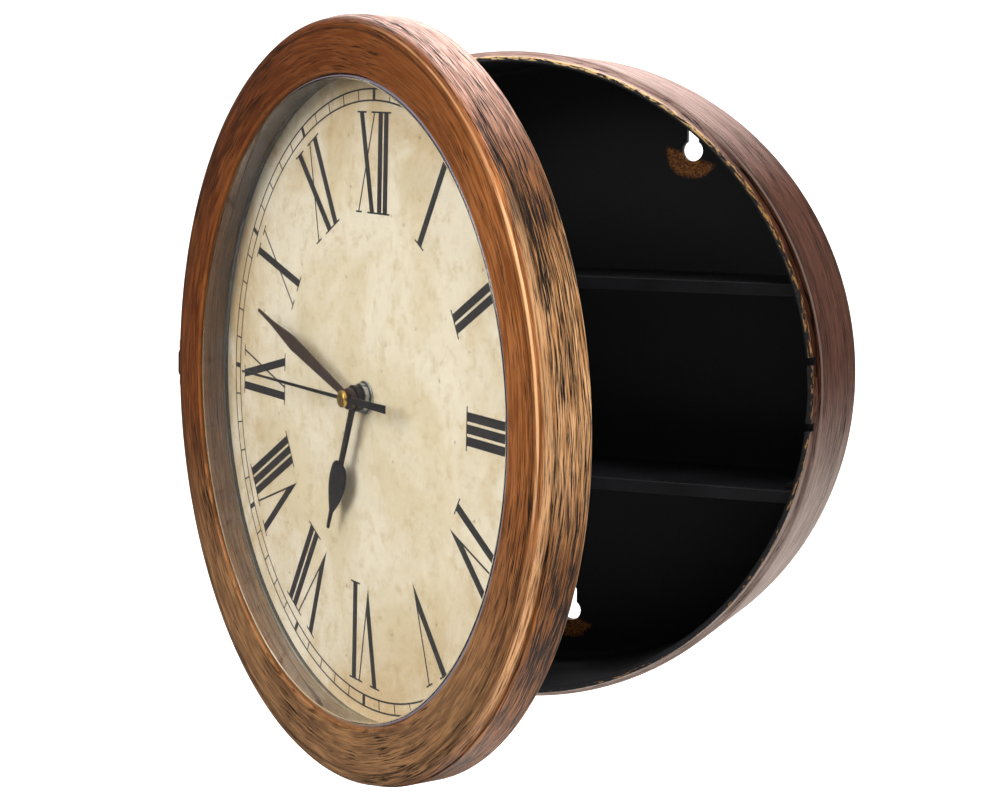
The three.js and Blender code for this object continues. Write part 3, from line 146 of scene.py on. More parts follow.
def close_finish(mat, look, height=None, relief=0.05):
    """Feeds a look into one Principled shader. Relief is how far its bumps stand up, in mm."""
    if height is not None:
        look["Normal"] = add(mat, "Bump", {"Height": height, "Distance": relief * MM})
    shader = add(mat, "BsdfPrincipled", look)
    add(mat, "OutputMaterial", {"Surface": shader})
    print("finish:", mat.name, "with", len(mat.node_tree.nodes), "nodes")
    return mat

# %% [markdown]
# ## Where a point lies on a round thing
# Brush marks on the door and the drum run round the rim, so their pattern needs the direction from
# the axis, the distance from it, and the depth, and not plain x, y and z. A point on the door is
# swung back to the closed door first, so that its axis is the clock's own.

# %% Measure a shaded point in millimetres, straight and round
def spot_mm(mat, on_the_door):
    """The shaded point in mm, in the frame of the case or of the closed door."""
    spot = add(mat, "TexCoord", out="Object")
    if on_the_door:
        spot = add(mat, "VectorRotate", (spot, HINGE, -OPEN), rotation_type="Z_AXIS")
    return add(mat, "VectorMath", (spot, 1 / MM), operation="SCALE")


def rim_spot(mat, spot):
    """The direction from the axis, the radius, and the distance out from the wall, in mm."""
    flat = add(mat, "VectorMath", (spot, (1, 0, 1)), **TIMES)
    turn = add(mat, "VectorMath", (flat,), operation="NORMALIZE")
    radius = add(mat, "VectorMath", (flat,), **LENGTH)
    depth = add(mat, "VectorMath", (spot, (0, -1, 0)), **ALONG)
    return turn, radius, depth


def band(mat, value, low, high, ease):
    """One inside low and high, easing to zero outside them."""
    rise = add(mat, "MapRange", (value, low - ease, low + ease))
    fall = add(mat, "MapRange", (value, high + ease, high - ease))
    return add(mat, "Math", (rise, fall), **TIMES)

# %% [markdown]
# ## Brushed copper paint on moulded ABS
# The door and the drum are moulded plastic, sprayed copper and then wiped with a dark glaze by a
# stiff brush that runs round the rim. The eye gets warm metal between dark hairs that start and
# stop, and pale gold on the ridge and the edges, partly worn paint and partly painted highlight.
# A photograph wrapped round the rim would show its seam, so the hairs are noise that is stretched
# round the rim: each about 11 mm long and 0.4 mm wide, the width of a few bristles, over slower
# tufts of 20 mm.

# %% Hairs drawn out round the rim
RIM = 120.0  # mm from the axis, where the marks have their true length
BRISTLE, BRISTLE_WIDE = 11.0, 0.42


def hairs(mat, turn, across, length, width, detail=4.0):
    """Noise stretched round the rim: marks about length mm along the brush, width mm across."""
    lane = add(mat, "Math", (across, width), operation="DIVIDE")
    lane = add(mat, "CombineXYZ", {"Y": lane})
    spot = add(mat, "VectorMath", (turn, (RIM / length,) * 3, lane), operation="MULTIPLY_ADD")
    return add(mat, "TexNoise", {
        "Vector": spot, "Scale": 1.0, "Detail": detail, "Roughness": 0.62})


print("bristle marks round the rim:", round(2 * math.pi * RIM / BRISTLE), "to the turn")

# %% The brushed paint itself
def copper_paint(mat, turn, across, glaze, pale, deep):
    """Colour, roughness and height of the brushed paint. Glaze says how much dark was left on."""
    sway = hairs(mat, turn, across, 40.0, 12.0, 2.0)
    sway = add(mat, "Math", (sway, 4.0), **TIMES)
    lane = add(mat, "Math", (across, sway))
    fine = hairs(mat, turn, lane, BRISTLE, BRISTLE_WIDE, 5.0)
    tuft = hairs(mat, turn, lane, 20.0, 1.3)
    patch = hairs(mat, turn, across, 60.0, 12.0, 1.0)
    warm = add(mat, "Mix", (add(mat, "MapRange", (tuft, 0.38, 0.62)), deep, pale))
    wipe = add(mat, "Math", (fine, 0.7), **TIMES)
    for layer, weight in ((tuft, 0.24), (patch, 0.21), (glaze, 0.12)):
        wipe = add(mat, "Math", (wipe, add(mat, "Math", (layer, weight), **TIMES)))
    dark = add(mat, "MapRange", (wipe, 0.54, 0.69))
    paint = add(mat, "Mix", (dark, warm, colour("#190f0a")))
    rough = add(mat, "MapRange", (fine, 0.2, 0.8, 0.32, 0.5))
    return paint, rough, add(mat, "Math", (fine, dark), **LESS)

# %% [markdown]
# ## The door's paint, region by region
# The painter's brush didn't leave the same glaze everywhere. The face is thinly glazed and warm.
# The side is heavily streaked. Light and shade are painted into the tints: the face is lighter to
# the right and low down and darker at the top, and the side is paler at the top as a painted sheen
# and lighter at the upper right as a painted highlight. Each region is a place on the rim's profile
# or on the dial's round, so two plain measures find it: a measure across the profile, and how far
# up or right the spot lies.

# %% Where the regions lie on the door's profile
# All but the opening are mm ahead of the seam less mm from the axis, from the face to the side.
GROOVE = (-104.7, -103.8)
FACE_EDGE = (-102.5, -105.5)
RIDGE, RIDGE_TOP = (-107.3, -105.9), (-107.0, -106.2)
SIDE = (-108.4, -111.0)  # here the face rounds over into the side
FLANK = (-112.4, -108.9)
OPENING = (106.9, 107.9)  # mm from the axis
HIGHLIGHT_SIDE = (0.25, 0.6)  # how far right the painted highlight fades in, as a share of the radius

print("the side begins", round(SIDE[1] - RIDGE[0], 1), "mm from the ridge")

# %% The door's tints and its glaze
def door_glaze(mat, across, side, low, top, right_highlight):
    """How much dark glaze was left: much on the side, less at the top, at the foot and at the upper
    right, where the painted sheen and highlight lie.
    """
    sheen_share = add(mat, "Math", (
        add(mat, "Math", (top, 0.7), **TIMES), add(mat, "Math", (right_highlight, 0.3), **TIMES)))
    heavy = add(mat, "Math", (0.62, sheen_share), **LESS)
    heavy = add(mat, "Math", (heavy, add(mat, "Math", (low, 0.25), **TIMES)), **LESS)
    thin = add(mat, "Math", (add(mat, "Math", (low, 0.1), **TIMES), 0.25), **LESS)
    thin = add(mat, "Math", (thin, add(mat, "MapRange", (across, *FACE_EDGE, 0.0, 0.22))))
    return add(mat, "Mix", (side, thin, heavy), data_type="FLOAT")


def door_tints(mat, across, up, right):
    """The pale copper, the deep copper and the glaze of each region, with light and shade painted
    in: the face lighter to the right and low down and darker at the top, the side with a painted
    sheen at the top and a painted highlight at the upper right.
    """
    side = add(mat, "MapRange", (across, *SIDE))
    low = add(mat, "MapRange", (up, -0.05, -0.75))
    top = add(mat, "MapRange", (up, 0.55, 0.95))
    lit = add(mat, "MapRange", (right, -0.6, 0.9))
    # The upper right, where a painted highlight lightens the side and thins its glaze.
    right_highlight = add(mat, "Math", (
        band(mat, up, -0.16, 0.45, 0.2), add(mat, "MapRange", (right, *HIGHLIGHT_SIDE))), **TIMES)
    # Painted light and shade on the face: lighter to the right and low down, darker at the top.
    face = add(mat, "Mix", (lit, colour("#834a24"), colour("#b4703c")))
    face = add(mat, "Mix", (add(mat, "Math", (top, 0.6), **TIMES), face, colour("#6e3c1c")))
    face = add(mat, "Mix", (low, face, colour("#a67a50")))
    # Painted sheen on the side's top and painted highlight at its upper right.
    side_pale_sheen = add(mat, "Mix", (top, colour("#a0622a"), colour("#e8beb0")))
    side_pale_sheen = add(mat, "Mix", (right_highlight, side_pale_sheen, colour("#f6c08c")))
    shade = add(mat, "Mix", (lit, colour("#5a2c12"), colour("#82481e")))
    shade = add(mat, "Mix", (low, shade, colour("#765438")))
    side_deep_sheen = add(mat, "Mix", (top, colour("#74441c"), colour("#b88c7c")))
    side_deep_sheen = add(mat, "Mix", (right_highlight, side_deep_sheen, colour("#cc925c")))
    pale = add(mat, "Mix", (side, face, side_pale_sheen))
    deep = add(mat, "Mix", (side, shade, side_deep_sheen))
    return pale, deep, door_glaze(mat, across, side, low, top, right_highlight)

# %% Where the door's ridge is pale gold: worn paint with a painted highlight
def worn_and_highlit_ridge(mat, turn, across, up, right):
    """The share of pale gold on the upper right: on the ridge, as a thread above it, and as streaks
    on the side, a painted highlight broken up like worn paint.
    """
    highlight_side = add(mat, "MapRange", (right, *HIGHLIGHT_SIDE))
    highlit = add(mat, "Math", (band(mat, up, -0.25, 0.62, 0.25), highlight_side), **TIMES)
    crest = add(mat, "Math", (band(mat, across, *RIDGE, 0.3), highlit), **TIMES)
    upper = add(mat, "Math", (
        band(mat, up, 0.66, 0.97, 0.12), add(mat, "MapRange", (right, 0.1, 0.35))), **TIMES)
    thread = add(mat, "Math", (band(mat, across, *RIDGE_TOP, 0.25), upper), **TIMES)
    thread = add(mat, "Math", (thread, 0.55), **TIMES)
    flank_highlight = add(mat, "Math", (band(mat, up, -0.65, 0.45, 0.2), highlight_side), **TIMES)
    flank = add(mat, "Math", (band(mat, across, *FLANK, 0.5), flank_highlight), **TIMES)
    patchy = add(mat, "MapRange", (hairs(mat, turn, across, BRISTLE, 0.5), 0.62, 0.46))
    patchy = add(mat, "Math", (patchy, 0.75), **TIMES)
    flank = add(mat, "Math", (flank, patchy), **TIMES)
    gold = add(mat, "Math", (add(mat, "Math", (crest, thread), **LARGER), flank), **LARGER)
    rub = hairs(mat, turn, across, 30.0, 2.4, 3.0)
    return add(mat, "Math", (gold, add(mat, "MapRange", (rub, 0.28, 0.50))), **TIMES)

# %% The door's finish
def door_copper():
    """Brushed copper paint of the door: a gold ridge, a painted highlight on the opening's edge,
    painted shade in the groove, a pale line on the back edge, streaked sides.
    """
    mat = open_finish("brushed copper paint on ABS, door")
    turn, radius, depth = rim_spot(mat, spot_mm(mat, on_the_door=True))
    up = add(mat, "VectorMath", (turn, (0, 0, 1)), **ALONG)
    right = add(mat, "VectorMath", (turn, (1, 0, 0)), **ALONG)
    ahead = add(mat, "Math", (depth, SEAM), **LESS)
    across = add(mat, "Math", (ahead, radius), **LESS)
    pale, deep, glaze = door_tints(mat, across, up, right)
    paint, rough, height = copper_paint(mat, turn, across, glaze, pale, deep)
    # The ridge's pale gold: worn paint with a painted highlight.
    look = add(mat, "Mix", (
        worn_and_highlit_ridge(mat, turn, across, up, right), paint, colour("#f0b884")))
    back_edge = add(mat, "MapRange", (ahead, 0.7, 0.2))
    for place, share, tone in (
            # A painted highlight along the opening's rounded edge.
            (band(mat, radius, *OPENING, 0.25), 0.3, "#b06a30"),
            # Painted shade in the groove between the face and the ridge.
            (band(mat, across, *GROOVE, 0.25), 0.55, "#2a1a10"),
            (back_edge, 0.5, "#d8b080")):
        look = add(mat, "Mix", (add(mat, "Math", (place, share), **TIMES), look, colour(tone)))
    return close_finish(mat, {
        "Base Color": look, "Metallic": 0.3, "Roughness": rough, "Specular IOR Level": 0.15},
        height, 0.04)


DOOR_COPPER = door_copper()

# %% [markdown]
# ## The drum: copper outside, bare black inside
# The drum is one moulding. Its outside and its back were sprayed, and its inside wasn't, so the
# colour has to change along the solid: by the distance from the axis and from the wall, and not by
# picking faces, because overspray never ends on a clean line. The lip that the door closes over is
# bare black too, with gold rubbed on its edge and on the tab that holds the door's catch, and a
# little copper blew through the keyholes and settled round them.

# %% Where things lie on the drum, and the copper dust at its keyholes
KEYHOLES = ((-54.0, 83.0), (54.0, 83.0), (7.5, -96.5))
SKIN, LIP = (116.0, 116.3), (114.7, 115.1)  # mm from the axis, where each one begins
LIP_EDGE = (SEAM + 120.1, SEAM + 120.5)  # mm from the axis and mm out from the wall, added up
TAB_HALF, TAB_OUT = 10.2, (SEAM + 3.9, SEAM + 4.1)  # the catch tab's half height, and its front
SHOULDER, SHOULDER_OUT = (117.5, 117.8), (SEAM - 0.6, SEAM - 0.3)  # a painted highlight on the edge behind the lip


def overspray(mat, spot, depth, look):
    """Copper dust that blew through the keyholes and settled in a crescent below each of them."""
    dust = add(mat, "TexNoise", {
        "Vector": spot, "Scale": 1 / 2.2, "Detail": 4.0, "Roughness": 0.7})
    dust = add(mat, "Math", (dust, 3.0), **TIMES)
    grain = add(mat, "TexNoise", {
        "Vector": spot, "Scale": 1 / 0.7, "Detail": 3.0, "Roughness": 0.7})
    tone = add(mat, "MapRange", (grain, 0.40, 0.60))
    tone = add(mat, "Mix", (tone, colour("#66381a"), colour("#bc7c42")))
    tone = add(mat, "Mix", (add(mat, "MapRange", (grain, 0.66, 0.76)), tone, colour("#c79a58")))
    for x, z in KEYHOLES:
        gone = add(mat, "VectorMath", (spot, (x, 0, z)), **LESS)
        flat = add(mat, "VectorMath", (gone, (1, 0, 1)), **TIMES)
        away = add(mat, "VectorMath", (flat,), **LENGTH)
        rise = add(mat, "VectorMath", (flat, (0.35, 0, 1)), **ALONG)
        cloud = add(mat, "MapRange", (add(mat, "Math", (away, dust)), 12.4, 11.0))
        for bound in ((rise, -1.2, -3.4), (depth, 1.0, 1.6)):
            cloud = add(mat, "Math", (cloud, add(mat, "MapRange", bound)), **TIMES)
        look = add(mat, "Mix", (add(mat, "Math", (cloud, 0.9), **TIMES), look, tone))
    return look


print("keyholes with dust round them:", len(KEYHOLES))

# %% The drum's tints, and its rubbed lip
def drum_tints(mat, up):
    """The pale copper, the deep copper and the glaze, made paler and less glazed at the top by a
    painted sheen and low down by a painted reflection, and how near the top the spot is.
    """
    top = add(mat, "MapRange", (up, 0.55, 0.98))
    low = add(mat, "MapRange", (up, 0.1, -0.45))
    # Painted sheen at the top and painted reflection low down.
    pale = add(mat, "Mix", (top, colour("#6e4232"), colour("#d4b8b0")))
    pale = add(mat, "Mix", (low, pale, colour("#ac9c94")))
    deep = add(mat, "Mix", (top, colour("#4a2e22"), colour("#a28880")))
    deep = add(mat, "Mix", (low, deep, colour("#887870")))
    sheen_share = add(mat, "Math", (top, low), **LARGER)
    return pale, deep, add(mat, "MapRange", (sheen_share, 0.0, 1.0, 0.1, -0.4)), top


def rubbed_lip(mat, spot, turn, radius, depth, up):
    """The share of bare gold on the lip's front edge and on the tab of the catch."""
    rub = hairs(mat, turn, add(mat, "Math", (depth, radius), **LESS), 4.0, 0.9, 4.0)
    rub = add(mat, "Math", (rub, add(mat, "Math", (up, 0.07), **TIMES)))
    worn = add(mat, "MapRange", (rub, 0.53, 0.59))
    edge = add(mat, "MapRange", (add(mat, "Math", (depth, radius)), *LIP_EDGE))
    level = add(mat, "VectorMath", (spot, (0, 0, 1)), **ALONG)
    tab = add(mat, "Math", (
        band(mat, level, -TAB_HALF, TAB_HALF, 0.2), add(mat, "MapRange", (depth, *TAB_OUT))),
        **TIMES)
    edge = add(mat, "Math", (edge, add(mat, "Math", (tab, 0.8), **TIMES)), **LARGER)
    gold = add(mat, "Math", (edge, worn), **TIMES)
    return add(mat, "Math", (add(mat, "MapRange", (radius, *LIP)), gold), **TIMES)

# %% The drum's finish
def drum_copper():
    """Copper paint outside and on the back, black ABS inside, overspray where they meet, and a
    painted highlight on the shoulder behind the lip.
    """
    mat = open_finish("brushed copper paint on ABS, drum")
    spot = spot_mm(mat, on_the_door=False)
    turn, radius, depth = rim_spot(mat, spot)
    up = add(mat, "VectorMath", (turn, (0, 0, 1)), **ALONG)
    pale, deep, glaze, top = drum_tints(mat, up)
    across = add(mat, "Math", (depth, radius), **LESS)
    paint, rough, height = copper_paint(mat, turn, across, glaze, pale, deep)
    grain = add(mat, "TexNoise", {
        "Vector": spot, "Scale": 1 / 0.9, "Detail": 3.0, "Roughness": 0.55})
    inside = add(mat, "Mix", (grain, colour("#1a1a1c"), colour("#262629")))
    ragged = add(mat, "Math", (radius, add(mat, "Math", (grain, 0.5), **TIMES)))
    back = add(mat, "MapRange", (depth, 0.6, 0.2))
    skin = add(mat, "Math", (add(mat, "MapRange", (ragged, *SKIN)), back), **LARGER)
    cloud = add(mat, "TexNoise", {
        "Vector": spot, "Scale": 1 / 16, "Detail": 5.0, "Roughness": 0.65})
    cloud = add(mat, "MapRange", (cloud, 0.35, 0.65))
    sprayed = add(mat, "Mix", (cloud, colour("#5c3420"), colour("#74452c")))
    paint = add(mat, "Mix", (add(mat, "Math", (back, 0.75), **TIMES), paint, sprayed))
    look = add(mat, "Mix", (skin, overspray(mat, spot, depth, inside), paint))
    # The lip's worn gold, paler towards the top as a painted highlight.
    gold = add(mat, "Mix", (top, colour("#a87c48"), colour("#e0bc84")))
    look = add(mat, "Mix", (rubbed_lip(mat, spot, turn, radius, depth, up), look, gold))
    # A painted highlight along the shoulder's edge behind the lip.
    shoulder = add(mat, "Math", (
        add(mat, "MapRange", (radius, *SHOULDER)), add(mat, "MapRange", (depth, *SHOULDER_OUT))),
        **TIMES)
    shoulder = add(mat, "Math", (shoulder, 0.6), **TIMES)
    look = add(mat, "Mix", (shoulder, look, colour("#a89084")))
    return close_finish(mat, {
        "Base Color": look,
        "Metallic": add(mat, "Math", (skin, 0.12), **TIMES),
        "Roughness": add(mat, "Mix", (skin, 0.6, rough), data_type="FLOAT"),
        "Specular IOR Level": add(mat, "Mix", (skin, 0.2, 0.0), data_type="FLOAT")},
        add(mat, "Math", (height, skin), **TIMES), 0.03)


DRUM_COPPER = drum_copper()

# %% [markdown]
# ## Parchment print on card
# The dial is stout card, printed to look like old parchment and varnished matt. The eye gets a
# warm cream, cloudy at two sizes, browner towards the rim, with specks the size of a pin head. The
# clouds are 38 and 7 mm across, and the paper's own fibre is drawn at 1.3 mm, coarser than it is,
# so that it still shows in the picture.

# %% The dial's parchment
def parchment():
    """Printed parchment: clouds, a browner rim, specks and paper fibre."""
    mat = open_finish("parchment print on card")
    spot = spot_mm(mat, on_the_door=True)
    radius = rim_spot(mat, spot)[1]
    cloud, mottle, fibre = (add(mat, "TexNoise", {
        "Vector": spot, "Scale": 1 / size, "Detail": detail, "Roughness": rough,
        "Distortion": warp}) for size, detail, rough, warp in (
            (38.0, 4.0, 0.6, 0.8), (7.0, 8.0, 0.72, 0.0), (1.3, 5.0, 0.7, 0.6)))
    pin = add(mat, "TexVoronoi", {"Vector": spot, "Scale": 1 / 7.5, "Randomness": 1.0})
    base = add(mat, "MapRange", (cloud, 0.36, 0.64))
    base = add(mat, "Mix", (base, colour("#decca6"), colour("#ecdfc4")))
    blotch = add(mat, "MapRange", (mottle, 0.46, 0.70, 0.0, 0.7))
    base = add(mat, "Mix", (blotch, base, colour("#c6aa78")))
    rim = add(mat, "Math", (
        add(mat, "MapRange", (radius, 60.0, 112.0)), add(mat, "MapRange", (cloud, 0.66, 0.36))),
        **TIMES)
    base = add(mat, "Mix", (add(mat, "Math", (rim, 0.75), **TIMES), base, colour("#c09c62")))
    speck = add(mat, "Math", (
        add(mat, "MapRange", (pin, 0.10, 0.05)), add(mat, "MapRange", (mottle, 0.44, 0.52))),
        **TIMES)
    base = add(mat, "Mix", (add(mat, "Math", (speck, 0.6), **TIMES), base, colour("#7d6340")))
    crease = add(mat, "MapRange", (fibre, 0.30, 0.75, 0.0, 0.22))
    base = add(mat, "Mix", (crease, base, colour("#ece0c4")))
    return close_finish(mat, {
        "Base Color": base, "Roughness": add(mat, "MapRange", (mottle, 0.3, 0.7, 0.62, 0.82)),
        "IOR": 1.5}, fibre, 0.05)


PARCHMENT = parchment()

# %% The ink of the numerals
def printing_ink():
    """Screen-printed ink: almost black, a little thin in places, where the parchment warms it."""
    mat = open_finish("screen-printed black ink")
    spot = spot_mm(mat, on_the_door=True)
    thin = add(mat, "TexNoise", {
        "Vector": spot, "Scale": 1 / 2.4, "Detail": 5.0, "Roughness": 0.7})
    tone = add(mat, "MapRange", (thin, 0.42, 0.72))
    tone = add(mat, "Mix", (tone, colour("#100e0e"), colour("#2c231e")))
    rough = add(mat, "MapRange", (thin, 0.3, 0.7, 0.5, 0.7))
    return close_finish(mat, {"Base Color": tone, "Roughness": rough, "IOR": 1.5}, thin, 0.01)


INK = printing_ink()

# %% [markdown]
# ## Clear moulded polystyrene
# The lens is clear plastic, moulded like a shallow dish turned over, so its flat front is almost
# unseen. The lilac line all round its edge is a painted reflection. It is a Principled shader with
# full transmission and polystyrene's IOR of 1.59. Light from a lamp can't find its way through bent
# glass quickly, so for shadows alone the lens is see-through: that is a common trick of product
# pictures. Its mirror image of the room is turned down to a quarter, as a polarising filter on the
# camera does.

# %% The lens
REFLECTION_OUT, REFLECTION_RADIUS = (SEAM + 14.6, SEAM + 15.0), (105.7, 106.3)  # mm, at the lens's edge


def clear_plastic():
    """Clear polystyrene with faint wipe marks and a painted lilac reflection at its edge, that lets
    the lamps' light in.
    """
    mat = open_finish("clear moulded polystyrene")
    spot = spot_mm(mat, on_the_door=True)
    _, radius, depth = rim_spot(mat, spot)
    smear = add(mat, "TexNoise", {
        "Vector": spot, "Scale": 1 / 22, "Detail": 5.0, "Roughness": 0.6, "Distortion": 1.2})
    shader = add(mat, "BsdfPrincipled", {
        "Base Color": add(mat, "Mix", (smear, colour("#f4f6f8"), colour("#ffffff"))),
        "Roughness": add(mat, "MapRange", (smear, 0.35, 0.75, 0.0, 0.006)), "IOR": 1.59,
        "Specular IOR Level": 0.12, "Transmission Weight": 1.0})
    # A painted lilac reflection on the lens's edge.
    edge_reflection = add(mat, "BsdfPrincipled", {
        "Base Color": add(mat, "Mix", (smear, colour("#a29cb4"), colour("#c6c2d2"))),
        "Roughness": 0.3})
    corner = add(mat, "Math", (add(mat, "MapRange", (depth, *REFLECTION_OUT)), 0.75), **TIMES)
    edge = add(mat, "Math", (add(mat, "MapRange", (radius, *REFLECTION_RADIUS)), corner), **TIMES)
    body = add(mat, "MixShader", (edge, shader, edge_reflection))
    clear = add(mat, "BsdfTransparent", {"Color": colour("#f6f7f8")})
    shadow = add(mat, "LightPath", out="Is Shadow Ray")
    add(mat, "OutputMaterial", {"Surface": add(mat, "MixShader", (shadow, body, clear))})
    return mat


CLEAR = clear_plastic()
print("clear plastic ready:", CLEAR.name)

# %% [markdown]
# ## Black ABS, black lacquer, steel, brass, rubber and acetal
# The smaller pieces each get the finish that such a piece has. Moulded ABS has a fine spark-eroded
# grain of about 0.4 mm, drawn at 0.6 mm. The hands are stamped aluminium under black lacquer, with
# a soft orange-peel. Nuts and washers are turned or rolled steel, so their brush lines run round.

# %% Moulded and lacquered finishes
def moulded(name, dark, light, rough, grain=0.6, relief=0.03, on_the_door=True, gloss=0.5):
    """A moulded plastic, rubber or lacquer with its grain in mm and a slow change of tone."""
    mat = open_finish(name)
    spot = spot_mm(mat, on_the_door)
    tooth, drift = (add(mat, "TexNoise", {
        "Vector": spot, "Scale": 1 / size, "Detail": detail, "Roughness": 0.55})
        for size, detail in ((grain, 2.0), (24.0, 3.0)))
    tone = add(mat, "MapRange", (drift, 0.3, 0.7))
    tone = add(mat, "Mix", (tone, colour(dark), colour(light)))
    return close_finish(mat, {
        "Base Color": tone, "Specular IOR Level": gloss,
        "Roughness": add(mat, "MapRange", (tooth, 0.25, 0.75, rough - 0.06, rough + 0.08))},
        tooth, relief)


BLACK_DOOR = moulded("moulded black ABS, door", "#0d0d0f", "#18181b", 0.42)
BLACK_CASE = moulded(
    "moulded black ABS, case", "#121214", "#1c1c1f", 0.5, on_the_door=False, gloss=0.2)
LACQUER = moulded(
    "black lacquer on stamped aluminium", "#0c0b0d", "#161518", 0.34, 3.0, 0.004, gloss=0.3)
# The minute hand's black lacquer is tinted warm brown, a painted reflection of the copper door.
LACQUER_WARM_REFLECTION = moulded(
    "black lacquer with a painted warm reflection", "#2c1910", "#40281a", 0.36, 3.0, 0.004)
RUBBER = moulded("black rubber", "#121212", "#1c1c1c", 0.85)
ACETAL = moulded("white moulded acetal", "#dcd8ca", "#efece2", 0.45)
JACKET = moulded("printed battery jacket", "#2f4a63", "#3c5a76", 0.32, 4.0, 0.01)


# %% Turned metal
def turned_metal(name, dark, light, rough, on_the_door=True):
    """Bare metal with fine brush lines round the axis, each about 0.25 mm wide."""
    mat = open_finish(name)
    spot = spot_mm(mat, on_the_door)
    turn, radius, depth = rim_spot(mat, spot)
    lines = hairs(mat, turn, add(mat, "Math", (radius, depth)), 8.0, 0.25, 3.0)
    stain = add(mat, "TexNoise", {
        "Vector": spot, "Scale": 1 / 3, "Detail": 4.0, "Roughness": 0.55})
    tone = add(mat, "MapRange", (stain, 0.3, 0.7))
    tone = add(mat, "Mix", (tone, colour(dark), colour(light)))
    return close_finish(mat, {
        "Base Color": tone, "Metallic": 1.0,
        "Roughness": add(mat, "MapRange", (lines, 0.2, 0.8, rough - 0.08, rough + 0.1))},
        lines, 0.01)


STEEL = turned_metal("turned steel", "#9ea2a6", "#c9cdd1", 0.3)
STEEL_CASE = turned_metal("turned steel, case", "#9ea2a6", "#c9cdd1", 0.3, on_the_door=False)
BRASS = turned_metal("turned brass", "#b98d3e", "#e0bb6a", 0.24)

# %% [markdown]
# ## From flat facets to true rounds
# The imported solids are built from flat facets: 48 to a full turn. That is right for sizes and
# collisions, and too plain for the eye. Each visible solid gets a finer copy that stands for it.
# The copy's facets are welded, every chord of a rim is split into four, and the new points are
# pushed out to the rim's own radius. Then the faces are shaded smooth, except over real corners,
# and those get a small bevel, because no real edge is sharper than the light that it catches.

# %% Push a rim's chords out to its true round
SAME = 0.03  # mm: the two ends of a chord share their radius and their depth within this


def push_out(bm, facets, cuts=3):
    """Splits the chords of rims about the Y axis and moves the new points out to the radius."""
    reach = bm.verts.layers.float.new("reach")
    for v in bm.verts:
        v[reach] = math.hypot(v.co.x, v.co.z)
    step = 2 * math.pi / facets
    chords = []
    for e in bm.edges:
        a, b = e.verts
        if max(abs(a[reach] - b[reach]), abs(a.co.y - b.co.y)) > SAME * MM:
            continue
        cross = a.co.x * b.co.z - a.co.z * b.co.x
        turned = abs(math.atan2(cross, a.co.x * b.co.x + a.co.z * b.co.z))
        if 0.15 * step < turned < 1.05 * step:  # a facet's chord, and no longer line
            chords.append(e)
    old = set(bm.verts)
    bmesh.ops.subdivide_edges(bm, edges=chords, cuts=cuts)
    for v in bm.verts:
        if v not in old:
            out = v[reach] / max(math.hypot(v.co.x, v.co.z), 1e-9)
            v.co.x, v.co.z = v.co.x * out, v.co.z * out
    return len(chords)

# %% [markdown]
# Three pieces need a little more care. Sprayed paint pools in fine grooves, so the two beside the
# door's ridge are lifted nearly flush. A modelling program limits a bevel by the shortest edge of
# the piece, so one stray edge of a few hundredths of a millimetre would leave the whole drum sharp:
# tiny edges are melted away first. And the many-sided faces of the door's ring and pan aren't quite
# flat, so they are cut into triangles here, before anything else can fold them.

# %% Make a finer copy of a solid
WELD, FLAT = 0.003, 0.6  # mm between points that are one, degrees between faces that are one
GROOVES_AHEAD, GROOVES_OUT, FILLED_OUT = (12.2, 14.1), (124.9, 125.5), 125.75


def fill_grooves(bm):
    """Paint has filled the two fine grooves beside the ridge to most of their depth."""
    for v in bm.verts:
        out, ahead = math.hypot(v.co.x, v.co.z) / MM, -v.co.y / MM - SEAM
        if GROOVES_AHEAD[0] < ahead < GROOVES_AHEAD[1] and GROOVES_OUT[0] < out < GROOVES_OUT[1]:
            v.co.x, v.co.z = v.co.x * FILLED_OUT / out, v.co.z * FILLED_OUT / out


def soften(piece, bevel, corner):
    """Bevels real corners, then evens the shading across big and small faces."""
    if bevel:
        soft = piece.modifiers.new("soft_edges", "BEVEL")
        soft.width = bevel * MM
        soft.segments = 2
        soft.limit_method = "ANGLE"
        soft.angle_limit = math.radians(corner)
        soft.use_clamp_overlap = True
    even = piece.modifiers.new("even_shading", "WEIGHTED_NORMAL")
    even.mode = "FACE_AREA"
    even.keep_sharp = True


def finer(name, mat, facets, bevel, corner, slot, tiny=0.0, cut=False):
    """A welded, rounded and bevelled copy of a solid that stands for it. Sizes are in mm."""
    node = frame["nodes"][name]
    on_the_door = node["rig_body"] != "case"
    bm = bmesh.new()
    bm.from_mesh(node.data)
    if on_the_door:
        bm.transform(SWING.inverted())
    bmesh.ops.remove_doubles(bm, verts=bm.verts, dist=WELD * MM)
    if name == "bezel_ring":
        fill_grooves(bm)
    bmesh.ops.dissolve_limit(
        bm, angle_limit=math.radians(FLAT), verts=bm.verts, edges=bm.edges)
    if tiny:
        bmesh.ops.dissolve_degenerate(bm, dist=tiny * MM, edges=bm.edges)
    chords = push_out(bm, facets) if facets else 0
    if cut:
        bmesh.ops.triangulate(bm, faces=bm.faces)
    if on_the_door:
        bm.transform(SWING)
    mesh = bpy.data.meshes.new("fine_" + name)
    bm.to_mesh(mesh)
    bm.free()
    for spare in [a.name for a in mesh.attributes if a.name in ("custom_normal", "reach")]:
        mesh.attributes.remove(mesh.attributes[spare])
    mesh.shade_smooth()
    mesh.set_sharp_from_angle(angle=math.radians(corner))
    mesh.materials.clear()
    mesh.materials.append(mat)
    piece = bpy.data.objects.new("fine_" + name, mesh)
    bpy.context.scene.collection.objects.link(piece)
    soften(piece, bevel, corner)
    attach(piece, node["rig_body"])
    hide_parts(name)
    print(f"{name}: {len(mesh.polygons)} faces, {chords} chords rounded")

